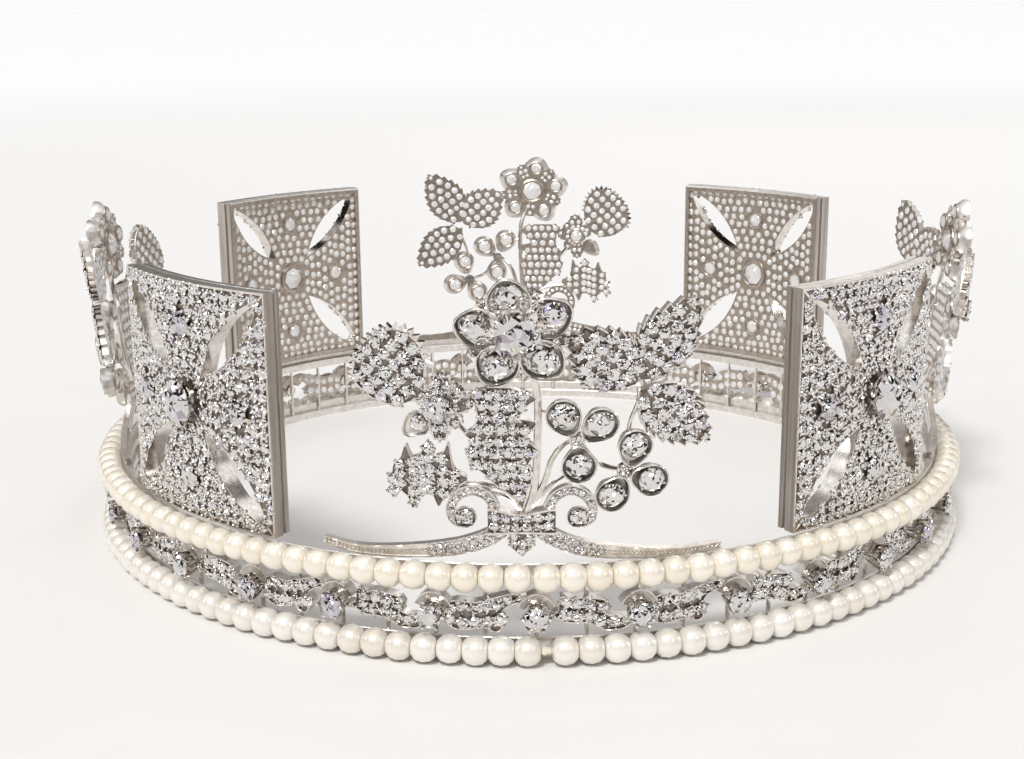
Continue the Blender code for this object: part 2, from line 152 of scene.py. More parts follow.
def pearlLustre(name, light, warm):
    # glass-core simulated pearl dipped in essence: cream body, satin coat, glow just under the skin
    made, tree, shader = newMaterial(name)
    tone = addNode(tree, "ShaderNodeAttribute", {"attribute_name": "tone"}).outputs["Fac"]
    place = addNode(tree, "ShaderNodeTexCoord").outputs["Object"]
    cloud = addNode(tree, "ShaderNodeTexNoise", {"Scale": 420.0, "Detail": 2.0}, {"Vector": place})
    shade = addNode(tree, "ShaderNodeMath", {"operation": "MULTIPLY_ADD", 1: 0.25},
                    {0: cloud.outputs["Fac"], 2: tone})
    colour = rampOf(tree, shade.outputs[0], ((0.1, light), (1.1, warm)))
    tree.links.new(colour, shader.inputs["Base Color"])
    shader.inputs["Roughness"].default_value = 0.30
    shader.inputs["Metallic"].default_value = 0.30
    shader.inputs["Subsurface Weight"].default_value = 0.15
    shader.inputs["Subsurface Radius"].default_value = (1.0, 0.75, 0.5)
    shader.inputs["Subsurface Scale"].default_value = 0.0012
    shader.inputs["Coat Weight"].default_value = 0.8
    shader.inputs["Coat Roughness"].default_value = 0.16
    shader.inputs["Sheen Weight"].default_value = 0.15
    bump = addNode(tree, "ShaderNodeBump", {"Strength": 0.10, "Distance": 0.0001},
                   {"Height": cloud.outputs["Fac"]})
    tree.links.new(bump.outputs[0], shader.inputs["Normal"])
    return made


creamPearl = pearlLustre("simulatedPearlCream", "#f6f0e4", "#eadfca")
whitePearl = pearlLustre("simulatedPearlWhite", "#f4f1eb", "#e8e0d3")
threadFinish, threadTree, threadShader = newMaterial("waxedSilkThread")
# twisted silk thread, waxed: creamy white with a fine ply of about 0.1 mm
threadPlace = addNode(threadTree, "ShaderNodeTexCoord").outputs["Object"]
threadPly = addNode(threadTree, "ShaderNodeTexWave", {"Scale": 3000.0, "Distortion": 2.0},
                    {"Vector": threadPlace})
threadTree.links.new(rampOf(threadTree, threadPly.outputs["Fac"], ((0.2, "#d9cdb4"), (0.8, "#f6f0e2"))),
                     threadShader.inputs["Base Color"])
threadShader.inputs["Roughness"].default_value = 0.7
print("materials made")


def shapeOf(points, faces, finish=0, smooth=True):
    # points, faces as one run of corners with a count for each face, and a finish, tone and shading a face
    if isinstance(faces, np.ndarray):
        corners = np.full(len(faces), faces.shape[1])
        loops = faces.ravel()
    else:
        corners = np.array([len(face) for face in faces])
        loops = np.concatenate([np.asarray(face) for face in faces])
    count = len(corners)
    return {"points": np.asarray(points, float).reshape(-1, 3), "loops": loops, "corners": corners,
            "finish": np.full(count, finish), "tone": np.full(count, 0.5), "smooth": np.full(count, smooth)}


def together(shapes):
    # several shapes as one
    starts = np.cumsum([0] + [len(shape["points"]) for shape in shapes[:-1]])
    whole = {key: np.concatenate([shape[key] for shape in shapes])
             for key in ("points", "corners", "finish", "tone", "smooth")}
    whole["loops"] = np.concatenate([shape["loops"] + start for shape, start in zip(shapes, starts)])
    return whole


def welded(shape, nearness=1e-7):
    # corners that lie together become one, and faces that close up are dropped
    keys = np.round(shape["points"] / nearness).astype(np.int64)
    _, first, back = np.unique(keys, axis=0, return_index=True, return_inverse=True)
    loops = back.ravel()[shape["loops"]]
    faces, kept = [], []
    for k, face in enumerate(np.split(loops, np.cumsum(shape["corners"])[:-1])):
        slim = face[face != np.roll(face, 1)]
        if len(slim) > 2 and len(set(slim.tolist())) == len(slim):
            faces.append(slim)
            kept.append(k)
    made = shapeOf(shape["points"][first], faces)
    for key in ("finish", "tone", "smooth"):
        made[key] = shape[key][kept]
    return made


def gridQuads(rows, columns, closeColumns=False):
    # the quads of a grid whose corner number is row * columns + column
    down, across = np.meshgrid(np.arange(rows - 1), np.arange(columns if closeColumns else columns - 1),
                               indexing="ij")
    after = (across + 1) % columns
    return np.stack((down * columns + across, down * columns + after,
                     (down + 1) * columns + after, (down + 1) * columns + across), -1).reshape(-1, 4)


def sweptShape(rings, finish=0, capped=True):
    # rings of an even number of corners, joined one to the next, each end closed by cross strips
    rows, count = rings.shape[:2]
    faces = [gridQuads(rows, count, True)]
    if capped:
        side = np.arange(count // 2 - 1)
        cap = np.stack((side, side + 1, count - 2 - side, count - 1 - side), -1)
        faces += [cap, cap + (rows - 1) * count]
    return shapeOf(rings.reshape(-1, 3), np.concatenate(faces), finish)


def turnedShape(profile, sides, outline=None, finish=0, smooth=True):
    # profile (share of the radius, out) turned about the out axis; outline gives the radius at each turn
    turn = np.arange(sides) * 2 * math.pi / sides
    reach = np.ones(sides) if outline is None else outline(turn)
    share, out = np.array(profile).T
    rings = np.stack((-share[:, None] * (reach * np.sin(turn)), share[:, None] * (reach * np.cos(turn)),
                      np.repeat(out[:, None], sides, 1)), -1)
    quads = gridQuads(len(profile), sides, True)
    return welded(shapeOf(rings.reshape(-1, 3), quads, finish, smooth))


def rotated(x, y, turn):
    # x * cos turn - y * sin turn, and x * sin turn + y * cos turn
    return x * np.cos(turn) - y * np.sin(turn), x * np.sin(turn) + y * np.cos(turn)


def circlePoints(turn, reach, out):
    # points round a stone, the turn counted from up: reach * sin turn, reach * cos turn, out
    return np.stack(np.broadcast_arrays(reach * np.sin(turn), reach * np.cos(turn), out), -1)


def raised(places, out):
    # flat places with one more column, their out or their size
    return np.column_stack((places, np.full(len(places), out)))


def runAlong(path):
    # the length from the path's start to each of its points
    return np.concatenate(([0.0], np.cumsum(np.linalg.norm(np.diff(path, axis=0), axis=1))))


def pointsAt(spots, run, path):
    # the places on a path at these lengths along it
    return np.stack([np.interp(spots, run, path[:, k]) for k in (0, 1)], -1)


def moved(shape, across=0.0, up=0.0, out=0.0, turn=0.0, scale=1.0):
    # turned about the third axis and shifted: in the flat drawing, or once wrapped, round the ring
    x, y, z = shape["points"].T * scale
    x, y = rotated(x, y, turn)
    return {**shape, "points": np.stack((x + across, y + up, z + out), -1)}


def wrapped(shape, sheet, angle=0.0):
    # across becomes the turn round the ring, up and out the height and reach on a sheet that may lean
    x, y, z = shape["points"].T
    lean = sheet["lean"]
    turn = x / sheet["radius"] + angle
    reach = sheet["radius"] + y * math.sin(lean) + z * math.cos(lean)
    height = sheet["foot"] + y * math.cos(lean) - z * math.sin(lean)
    return {**shape, "points": np.stack((reach * np.sin(turn), -reach * np.cos(turn), height), -1)}


def stamped(shape, places, sizes, turns=0.0, tones=None, tilt=0.0):
    # copies of a small shape at flat places, each scaled, turned about the out axis and tilted a little
    places = np.atleast_2d(places)
    count = len(places)
    sizes = np.broadcast_to(sizes, count)
    turns = np.broadcast_to(turns, count)
    tones = 0.68 * rng.random(count) if tones is None else np.broadcast_to(tones, count)
    local = shape["points"][None] * sizes[:, None, None]
    lean = rng.normal(0.0, tilt, (2, count, 1)) if tilt else np.zeros((2, count, 1))
    x, y, z = local[..., 0], local[..., 1], local[..., 2]
    z = z + x * lean[0] + y * lean[1]
    x, y = x - z * lean[0], y - z * lean[1]
    points = np.stack((*rotated(x, y, turns[:, None]), z), -1) + places[:, None, :]
    offset = np.arange(count)[:, None] * len(shape["points"])
    faces = len(shape["corners"])
    spread = rng.normal(0.0, 0.16, (count, faces))
    return {"points": points.reshape(-1, 3), "loops": (shape["loops"][None] + offset).ravel(),
            "corners": np.tile(shape["corners"], count), "finish": np.tile(shape["finish"], count),
            "smooth": np.tile(shape["smooth"], count),
            "tone": np.clip(tones[:, None] + spread, 0.0, 1.0).ravel()}


def makePiece(name, shape, finishes, slot, replaced=()):
    # the mesh from whole arrays, faces turned outward, hard edges kept, riding on the frame
    mesh = bpy.data.meshes.new(name)
    starts = np.cumsum(shape["corners"]) - shape["corners"]
    mesh.vertices.add(len(shape["points"]))
    mesh.loops.add(len(shape["loops"]))
    mesh.polygons.add(len(starts))
    mesh.vertices.foreach_set("co", shape["points"].astype(np.float32).ravel())
    mesh.loops.foreach_set("vertex_index", shape["loops"].astype(np.int32))
    mesh.polygons.foreach_set("loop_start", starts.astype(np.int32))
    mesh.polygons.foreach_set("loop_total", shape["corners"].astype(np.int32))
    for finish in finishes:
        mesh.materials.append(finish)
    mesh.update(calc_edges=True)
    mesh.polygons.foreach_set("material_index", shape["finish"].astype(np.int32))
    mesh.polygons.foreach_set("use_smooth", shape["smooth"].astype(bool))
    mesh.attributes.new("tone", "FLOAT", "FACE").data.foreach_set("value", shape["tone"].astype(np.float32))
    if slot == "clear_stone":
        spark = rng.normal(0.0, 1.0, 3 * len(starts)).astype(np.float32)
        mesh.attributes.new("spark", "FLOAT_VECTOR", "FACE").data.foreach_set("vector", spark)
    work = bmesh.new()
    work.from_mesh(mesh)
    bmesh.ops.recalc_face_normals(work, faces=work.faces)
    work.to_mesh(mesh)
    work.free()
    mesh.set_sharp_from_angle(angle=math.radians(36))
    mesh.update()
    made = bpy.data.objects.new(name, mesh)
    bpy.context.collection.objects.link(made)
    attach(made, "root")
    if replaced:
        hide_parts(*replaced)


def brilliantShape():
    # a round brilliant of diameter 1: its table parted in a star, as the pavilion shows through, eight stars,
    # eight kites, upper and lower halves and the mains that run to the culet
    eight = np.arange(8) * math.pi / 4
    between = eight + math.pi / 8
    sixteen = np.arange(16) * math.pi / 8
    points = np.vstack((circlePoints(eight, 0.28, 0.155), circlePoints(between, 0.39, 0.10),
                        circlePoints(sixteen, 0.5, 0.012), circlePoints(sixteen, 0.5, -0.012),
                        circlePoints(between, 0.11, -0.35), circlePoints(between, 0.12, 0.155),
                        [[0.0, 0.0, -0.43], [0.0, 0.0, 0.155]]))
    table, star, upper, lower, pavilion, inner, culet, heart = 0, 8, 16, 32, 48, 56, 64, 65
    faces = []
    for k in range(8):
        after, before = (k + 1) % 8, (k - 1) % 8
        two, three = (2 * k + 1) % 16, (2 * k + 2) % 16
        faces += [[table + k, inner + k, table + after], [table + k, inner + before, heart, inner + k],
                  [table + k, table + after, star + k], [table + k, star + k, upper + 2 * k, star + before],
                  [star + k, upper + 2 * k, upper + two], [star + k, upper + two, upper + three],
                  [upper + 2 * k, lower + 2 * k, lower + two, upper + two],
                  [upper + two, lower + two, lower + three, upper + three],
                  [culet, pavilion + before, lower + 2 * k, pavilion + k],
                  [pavilion + k, lower + 2 * k, lower + two], [pavilion + k, lower + two, lower + three]]
    return shapeOf(points, faces, smooth=False)


def smallStoneShape():
    # a small stone of diameter 1: a table parted in four, sixteen crown facets and eight below the girdle
    turn = np.arange(8) * math.pi / 4
    table, girdle = circlePoints(turn, 0.29, 0.16), circlePoints(turn + math.pi / 8, 0.5, 0.0)
    faces = [[0, 1, 2, 17], [2, 3, 4, 17], [4, 5, 6, 17], [6, 7, 0, 17]]
    for k in range(8):
        after = (k + 1) % 8
        faces += [[k, 8 + k, after], [after, 8 + k, 8 + after], [16, 8 + after, 8 + k]]
    return shapeOf(np.vstack((table, girdle, [[0.0, 0.0, -0.36], [0.0, 0.0, 0.16]])), faces, smooth=False)


brilliant = brilliantShape()
smallStone = smallStoneShape()
# a raised bead of metal that holds small stones: a low dome of five sides
grainBead = turnedShape(((0.0, -0.3), (0.5, -0.3), (0.46, 0.12), (0.28, 0.34), (0.0, 0.42)), 5)
# a saw tooth that points away from the edge it stands on
tooth = shapeOf(((-0.5, -0.2, 0.5), (0.5, -0.2, 0.5), (0.0, 0.75, 0.35),
                 (-0.5, -0.2, -0.5), (0.5, -0.2, -0.5), (0.0, 0.75, -0.35)),
                [[0, 1, 2], [5, 4, 3], [0, 2, 5, 3], [2, 1, 4, 5], [1, 0, 3, 4]], smooth=False)
# the point of a stone seen through its hole at the back, in a thin raised edge
backPoint = turnedShape(((0.0, 0.06), (0.56, 0.06), (0.5, -0.08), (0.28, -0.2), (0.0, -0.26)), 7,
                        finish=1, smooth=False)
# an open ring at the back of a larger stone
backRing = turnedShape(((0.72, 0.1), (0.74, -0.10), (0.84, -0.16), (0.96, -0.10), (1.0, 0.1), (0.72, 0.1)), 18,
                       finish=2)


def barShape(path, radii, sides=6, finish=0):
    # a round bar along a path: centre + radius * (cos turn * normal + sin turn * out)
    path = np.asarray(path, float)
    along = np.gradient(path, axis=0)
    along /= np.linalg.norm(along, axis=1)[:, None]
    normal = np.cross(along, [0.0, 0.0, 1.0])
    flat = np.linalg.norm(normal, axis=1) < 0.2
    normal[flat] = np.cross(along[flat], [0.0, 1.0, 0.0])
    normal /= np.linalg.norm(normal, axis=1)[:, None]
    other = np.cross(normal, along)
    turn = np.arange(sides) * 2 * math.pi / sides
    radii = np.broadcast_to(radii, len(path))[:, None, None]
    rings = path[:, None] + radii * (np.cos(turn)[None, :, None] * normal[:, None]
                                     + np.sin(turn)[None, :, None] * other[:, None])
    return sweptShape(rings, finish)


def smoothPath(points, count):
    # a Catmull-Rom curve through the points, count samples evenly spread over its stretches
    points = np.asarray(points, float)
    padded = np.vstack((2 * points[0] - points[1], points, 2 * points[-1] - points[-2]))
    share = np.linspace(0, len(points) - 1, count)
    k = np.minimum(share.astype(int), len(points) - 2)
    t = (share - k)[:, None]
    a, b, c, d = padded[k], padded[k + 1], padded[k + 2], padded[k + 3]
    bend, twist = 2 * a - 5 * b + 4 * c - d, 3 * b - a - 3 * c + d
    return 0.5 * (2 * b + (c - a) * t + bend * t ** 2 + twist * t ** 3)


def plateShape(left, right, back, front, rim, sunk, crown=0.0):
    # rows of points between two edges: a bright raised rim at each edge, sunk between, with a crown
    left, right = np.asarray(left, float), np.asarray(right, float)
    width = np.linalg.norm(right - left, axis=1)
    share = np.clip(rim / np.maximum(width, 0.01 * mm), 0.02, 0.2)
    columns = np.stack((0 * share, share, share * 1.35, 0.5 + 0 * share, 1 - share * 1.35, 1 - share,
                        1 + 0 * share), 1)
    flat = left[:, None] + (right - left)[:, None] * columns[..., None]
    depth = front - sunk * np.array([0, 0, 1, 1, 1, 0, 0]) + crown * (1 - (2 * columns - 1) ** 2)
    face = np.concatenate((flat, depth[..., None]), -1)
    rear = face[:, ::-1].copy()
    rear[..., 2] = back
    shape = sweptShape(np.concatenate((face, rear), 1))
    # the sunk field and its slopes take the darker metal of slot 3, painted shade that reads as shadow lines along the
    # rims; the two side walls take the lighter metal of slot 4, a painted highlight
    strips = np.array([0, 3, 3, 3, 3, 0, 4, 2, 2, 2, 2, 2, 2, 4])
    shape["finish"][:14 * (len(left) - 1)] = np.tile(strips, len(left) - 1)
    return shape


def rowsOfStones(left, right, pitch, margin, first=None, last=None, bent=False):
    # stones in rows across the space between two edges, as (across, up, size); narrow rows get smaller ones
    left, right = np.asarray(left, float), np.asarray(right, float)
    middle = (left + right) / 2
    axis = (middle[-1] - middle[0]) / np.linalg.norm(middle[-1] - middle[0])
    along = np.maximum.accumulate((middle - middle[0]) @ axis)
    if bent:
        along = runAlong(middle)
    first = margin if first is None else first
    last = margin if last is None else last
    count = max(int((along[-1] - first - last) / (0.94 * pitch) + 0.55), 1)
    places = []
    for row in np.linspace(first, along[-1] - last, count + 1):
        start, end = pointsAt(row, along, left), pointsAt(row, along, right)
        width = np.linalg.norm(end - start)
        if width < 0.45 * pitch:
            continue
        fit = int(max(width - 2 * margin, 0.0) / pitch + 0.52) + 1
        share = np.linspace(margin, width - margin, fit) / width if fit > 1 else np.array([0.5])
        room = width - 0.35 * mm if fit == 1 else 1.08 * (width - 2 * margin) / (fit - 1)
        size = min((0.96 if fit == 1 else 1.03) * pitch, room)
        places.append(raised(start + (end - start) * share[:, None], size))
    return np.vstack(places)


def paveShapes(places, out, beads, beadSize, back):
    # small stones with their girdles at out, the beads that hold them, and their points seen at the back
    count = len(places)
    sizes = places[:, 2] * rng.normal(1.0, 0.03, count)
    middle = raised(places[:, :2], out)
    stones = stamped(smallStone, middle, sizes, rng.random(count) * math.pi, tilt=0.09)
    points = stamped(backPoint, raised(places[:, :2], back), 0.74 * sizes, rng.random(count))
    turn = rng.random(count) * 2 * math.pi + np.arange(beads)[:, None] * 2 * math.pi / beads
    spots = middle + np.stack((sizes / 2 * np.cos(turn), sizes / 2 * np.sin(turn), 0.06 * mm + 0 * turn), -1)
    grains = stamped(grainBead, spots.reshape(-1, 3), beadSize * rng.normal(1.0, 0.12, count * beads))
    return together([stones, points]), grains


# Camera and studio first
view = {"place": (-0.00463, -0.3185, 0.1070), "pitch": 0.2474, "yaw": 0.004, "roll": -0.0086, "lens": 52.21}
camera = bpy.data.objects.new("camera", bpy.data.cameras.new("camera"))
camera.data.lens = view["lens"]
camera.data.sensor_width = 36.0
camera.data.clip_start = 0.01
camera.matrix_world = (Matrix.Translation(view["place"]) @ Matrix.Rotation(-view["yaw"], 4, "Z")
                       @ Matrix.Rotation(math.pi / 2 - view["pitch"], 4, "X")
                       @ Matrix.Rotation(view["roll"], 4, "Z"))
bpy.context.collection.objects.link(camera)
bpy.context.scene.camera = camera

studio = {"floorSize": 60.0, "floorPaintedShadeNear": "#ebe9e7", "floorPaintedLightFar": "#ffffff", "sky": "#fbfbfb", "ceiling": "#e8e8e8",
          "daylight": 0.50, "sun": 2.0, "mirrors": 1.30,
          "roomDark": "#0d0b0a", "room": "#5a524c", "roomLight": "#ffffff"}
floorMesh = bpy.data.meshes.new("floor")
reach = studio["floorSize"] / 2
floorMesh.from_pydata([(-reach, -reach, 0), (reach, -reach, 0), (reach, reach, 0), (-reach, reach, 0)], [],
                      [(0, 1, 2, 3)])
floor = bpy.data.objects.new("floor", floorMesh)
bpy.context.collection.objects.link(floor)
floorFinish, floorTree, floorShader = newMaterial("mattePaperFloorPaintedLight")
# a paper floor, light grey under the object and whiter further off, from 0.1 m to 2.2 m away: a painted gradient that
# evens out the lamp light, which is stronger near the object
floorPlace = addNode(floorTree, "ShaderNodeTexCoord").outputs["Object"]
floorAway = addNode(floorTree, "ShaderNodeVectorMath", {"operation": "LENGTH"},
                    {0: floorPlace}).outputs["Value"]
floorPaintedShare = addNode(floorTree, "ShaderNodeMapRange", {"interpolation_type": "SMOOTHSTEP", "From Min": 0.1,
                                                       "From Max": 2.2}, {"Value": floorAway})
floorPaintedTones = ((0.0, studio["floorPaintedShadeNear"]), (1.0, studio["floorPaintedLightFar"]))
floorTree.links.new(rampOf(floorTree, floorPaintedShare.outputs[0], floorPaintedTones), floorShader.inputs["Base Color"])
floorShader.inputs["Roughness"].default_value = 0.9
floorMesh.materials.append(floorFinish)

# the room: plain white where it is seen, even daylight on dull surfaces, light and dark patches in the mirrors
world = bpy.data.worlds.new("studio")
bpy.context.scene.world = world
world.use_nodes = True
sky = world.node_tree
sky.nodes.clear()
ray = addNode(sky, "ShaderNodeLightPath")
seen = addNode(sky, "ShaderNodeBackground", {"Color": linearColour(studio["sky"]), "Strength": 1.0})
daylight = addNode(sky, "ShaderNodeBackground", {"Color": linearColour(studio["sky"]),
                                                 "Strength": studio["daylight"]})
facing = addNode(sky, "ShaderNodeTexCoord").outputs["Generated"]
patches = addNode(sky, "ShaderNodeTexNoise", {"Scale": 4.6, "Detail": 1.5}, {"Vector": facing})
walls = rampOf(sky, patches.outputs["Fac"], ((0.44, studio["roomDark"]), (0.52, studio["room"]),
                                             (0.60, studio["roomLight"])))
overhead = addNode(sky, "ShaderNodeSeparateXYZ", links={0: facing}).outputs["Z"]
canopy = addNode(sky, "ShaderNodeMapRange", {"From Min": 0.70, "From Max": 0.92}, {"Value": overhead})
room = addNode(sky, "ShaderNodeMix", {"data_type": "RGBA", 7: linearColour(studio["ceiling"])},
               {0: canopy.outputs[0], 6: walls}).outputs[2]
mirrored = addNode(sky, "ShaderNodeBackground", {"Strength": studio["mirrors"]}, {"Color": room})
dull = addNode(sky, "ShaderNodeMixShader", links={0: ray.outputs["Is Diffuse Ray"], 1: mirrored.outputs[0],
                                                  2: daylight.outputs[0]})
mixed = addNode(sky, "ShaderNodeMixShader", links={0: ray.outputs["Is Camera Ray"], 1: dull.outputs[0],
                                                   2: seen.outputs[0]})
addNode(sky, "ShaderNodeOutputWorld", links={"Surface": mixed.outputs[0]})

sun = bpy.data.lights.new("sun", "SUN")
sun.energy = studio["sun"]
sun.angle = math.radians(14)
sunlight = bpy.data.objects.new("sun", sun)
sunlight.rotation_euler = (math.radians(34), math.radians(-16), 0.0)
bpy.context.collection.objects.link(sunlight)

lamps = (  # name, place, size, watts, colour: small and bright, so that facets flash
    ("key", (-0.45, -0.70, 0.80), (0.12, 0.12), 0.50, "#fff8f0"),
    ("fill", (0.65, -0.60, 0.60), (0.08, 0.12), 0.34, "#f4f6ff"),
    ("top", (0.05, 0.05, 1.10), (0.15, 0.12), 0.40, "#ffffff"),
    ("back", (0.30, 0.90, 0.60), (0.18, 0.11), 0.50, "#fffaf4"),
    ("front", (0.10, -0.95, 0.35), (0.09, 0.06), 0.22, "#ffffff"),
    ("left", (-0.90, -0.10, 0.45), (0.08, 0.15), 0.34, "#ffffff"),
    ("right", (0.90, 0.05, 0.35), (0.08, 0.15), 0.34, "#ffffff"),
)
for name, place, size, watts, colour in lamps:
    lamp = bpy.data.lights.new(name, "AREA")
    lamp.shape = "RECTANGLE"
    lamp.size, lamp.size_y = size
    lamp.energy = watts
    lamp.color = linearColour(colour)[:3]
    made = bpy.data.objects.new(name, lamp)
    made.location = place
    made.rotation_euler = (Vector(place) - Vector((0.0, 0.0, 0.03))).to_track_quat("Z", "Y").to_euler()
    bpy.context.collection.objects.link(made)
bpy.context.scene.view_settings.view_transform = "Standard"
print("camera and studio set")

# Pearls
pearls = {"diameter": 5.12 * mm, "length": 4.34 * mm, "reach": 2.52 * mm, "sides": 13, "radius": 90.1 * mm,
          "thread": 0.35 * mm}
pearlStrings = (  # name, height, count, gap at the seam, seam's turn in degrees, finish
    ("lower", 2.7 * mm, 129, 1.9 * mm, 1.05, whitePearl),
    ("upper", 15.6 * mm, 130, 0.4 * mm, -0.45, creamPearl),
)


def beadShape():
    # radius * sqrt(1 - (along / reach) ** 2.2), cut off short of its reach: flattened where it meets the next
    along = np.array((-0.99, -0.90, -0.55, 0.0, 0.55, 0.90, 0.99)) * pearls["length"] / 2
    radius = np.sqrt(1 - np.abs(along / pearls["reach"]) ** 2.2) * pearls["diameter"] / 2
    radius = np.concatenate(([0.0], radius * (0.84, 1, 1, 1, 1, 1, 0.84), [0.0]))
    along = np.concatenate((along[:1], along, along[-1:]))
    sides = pearls["sides"]
    turn = np.arange(sides) * 2 * math.pi / sides
    rings = np.stack((np.repeat(along[:, None], sides, 1), radius[:, None] * np.cos(turn),
                      radius[:, None] * np.sin(turn)), -1)
    return welded(shapeOf(rings.reshape(-1, 3), gridQuads(len(along), sides, True)))


def pearlString(name, height, count, gap, seam, finish):
    # beads side by side round the ring from one side of the seam to the other
    radius = pearls["radius"]
    length = 2 * math.pi * radius - gap
    across = seam * radius + gap / 2 + (np.arange(count) + 0.5) * length / count
    places = np.column_stack((across, rng.normal(0, 0.04 * mm, count), rng.normal(0, 0.05 * mm, count)))
    bead = beadShape()
    flat = stamped(bead, places, rng.normal(1.0, 0.010, count), rng.normal(0, 0.03, count))
    # each bead keeps one tone, warmer or whiter than its neighbour
    flat["tone"] = np.repeat(np.clip(rng.normal(0.40, 0.16, count), 0, 1), len(bead["corners"]))
    sheet = {"radius": radius, "foot": height, "lean": 0.0}
    made = wrapped(flat, sheet)
    turn = np.linspace(0, 2 * math.pi, 241)[:-1] * radius
    turn = np.append(turn, 2 * math.pi * radius - 0.01 * mm)
    thread = barShape(np.column_stack((turn, 0 * turn, 0 * turn)), pearls["thread"], 6, 1)
    knot = turnedShape(((0.0, -0.5), (0.42, -0.42), (0.55, 0.0), (0.42, 0.42), (0.0, 0.5)), 8, finish=1)
    knots = [moved(knot, seam * radius + shift, 0.05 * mm, 0.0, 0.0, size)
             for shift, size in ((-gap * 0.18, min(gap, 1.4 * mm)), (gap * 0.2, min(gap, 1.1 * mm)))]
    shape = together([made] + [wrapped(part, sheet) for part in [thread] + knots])
    makePiece(name + "_beads", shape, [finish, threadFinish], "pearl", [name])


for which, height, count, gap, seam, finish in pearlStrings:
    pearlString("pearl_string_" + which, height, count, gap, math.radians(seam), finish)
print("pearls strung")

silvers = [polishedSilver, brushedSilver, satinSilver, paintedShadeSeatSilver, paintedHighlightSilver]

# Frieze: rims, posts, scroll pieces, collets and their stones
frieze = {"stones": 32, "stone": 4.3 * mm, "stoneOut": 4.35 * mm, "height": 17.1 * mm, "inner": 85.9 * mm,
          "outer": 87.5 * mm, "rim": 3.5 * mm, "lip": 0.45 * mm, "segments": 256, "post": 0.42 * mm,
          "plateBack": -0.3 * mm, "plateFront": 1.9 * mm, "plateRim": 0.24 * mm, "plateSunk": 0.3 * mm,
          "pave": 2.3 * mm, "bead": 0.6 * mm, "margins": (1.2 * mm, 1.1 * mm, 0.8 * mm)}
hookRows = (  # left edge, right edge of the drawing's rows, in mm from the stone on the left
    ((1.6, -1.6), (1.6, 1.4)), ((3.9, -3.0), (3.9, 2.4)), ((6.8, -2.8), (6.8, 2.1)), ((7.9, -2.1), (8.2, 2.4)),
    ((10.3, -3.3), (9.4, 2.8)), ((11.4, -2.7), (10.3, 3.05)), ((11.2, -1.0), (11.2, 3.3)),
    ((11.9, 0.9), (12.2, 3.6)), ((14.2, 2.0), (13.4, 3.8)), ((15.6, 1.7), (15.6, 3.4)),
)
waveRows = (
    ((1.6, -0.7), (1.6, 0.2)), ((3.5, -0.9), (3.6, 0.6)), ((4.2, -1.2), (4.0, 3.1)), ((5.6, -1.75), (6.0, 3.0)),
    ((8.6, -1.85), (8.6, 2.9)), ((10.4, -2.7), (11.5, 2.3)), ((11.2, -3.2), (11.3, 0.7)),
    ((12.3, -3.4), (11.8, -0.3)), ((14.0, -3.4), (13.6, -0.9)), ((15.4, -2.9), (15.0, -0.95)),
    ((16.0, -2.2), (15.8, -1.1)),
)


def rimShape(low, high, lip):
    # a wall turned round the ring's axis, thick where the posts join it, with a thin bright lip at its top
    inner, outer, ease = frieze["inner"], frieze["outer"], 0.15 * mm
    thin = outer - frieze["lip"]
    profile = np.array(((inner + ease, low), (outer - ease, low), (outer, low + ease), (outer, lip - ease),
                        (outer - ease, lip), (thin + ease, lip), (thin, lip - ease), (thin, high - 1.5 * mm),
                        (inner + ease, high - 1.6 * mm), (inner, high - 1.75 * mm)))
    turn = np.linspace(0, 2 * math.pi, frieze["segments"] + 1)[:, None]
    reach, height = profile.T[:, None]
    rings = np.stack((reach * np.sin(turn), -reach * np.cos(turn), height + 0 * turn), -1)
    # the whole rim takes the lighter metal of slot 4, a painted highlight that keeps its walls and lip bright
    return welded(sweptShape(rings, 4, capped=False))


def clawShapes(count, stone, shares, depths, radii):
    # bars up the side of a setting at even turns, through shares of the stone's radius at these depths
    turns = (np.arange(count) + 0.5) * 2 * math.pi / count
    return [barShape(circlePoints(turn, np.array(shares) * stone / 2, depths), radii, 6) for turn in turns]


def colletShape():
    # a flared cup with six claws that end in beads over the girdle
    stone, out = frieze["stone"], frieze["stoneOut"]
    profile = ((0.0, 0.0), (0.60, 0.0), (0.62, 0.8), (0.72, 0.95), (0.66, 1.3), (0.90, 3.2), (0.94, 3.6),
               (0.84, 3.6), (0.40, 1.8), (0.0, 1.5))  # share of the girdle's radius, mm out
    cup = turnedShape([(share * stone / 2, depth * mm) for share, depth in profile], 18)
    return together([cup] + clawShapes(6, stone, (0.66, 0.90, 1.04, 1.00, 0.84), (
        0.6 * mm, 2.4 * mm, out - 0.3 * mm, out + 0.25 * mm, out + 0.45 * mm),
        np.array((0.30, 0.32, 0.34, 0.36, 0.22)) * mm))


def hoodShape():
    # a little arched leaf over each collet: an arc of plate with bright edges
    turn = np.radians(np.linspace(152, 28, 13))
    inner = np.column_stack((2.1 * np.cos(turn), 2.1 * np.sin(turn))) * mm
    rise = (3.05 + 0.75 * np.sin(turn) ** 2) * np.sin(turn)
    outer = np.column_stack((3.15 * np.cos(turn) * 1.12, rise)) * mm
    leaf = plateShape(outer, inner, -0.2 * mm, 2.3 * mm, 0.2 * mm, 0.12 * mm)
    leaf["finish"][leaf["finish"] == 3] = 1
    return leaf


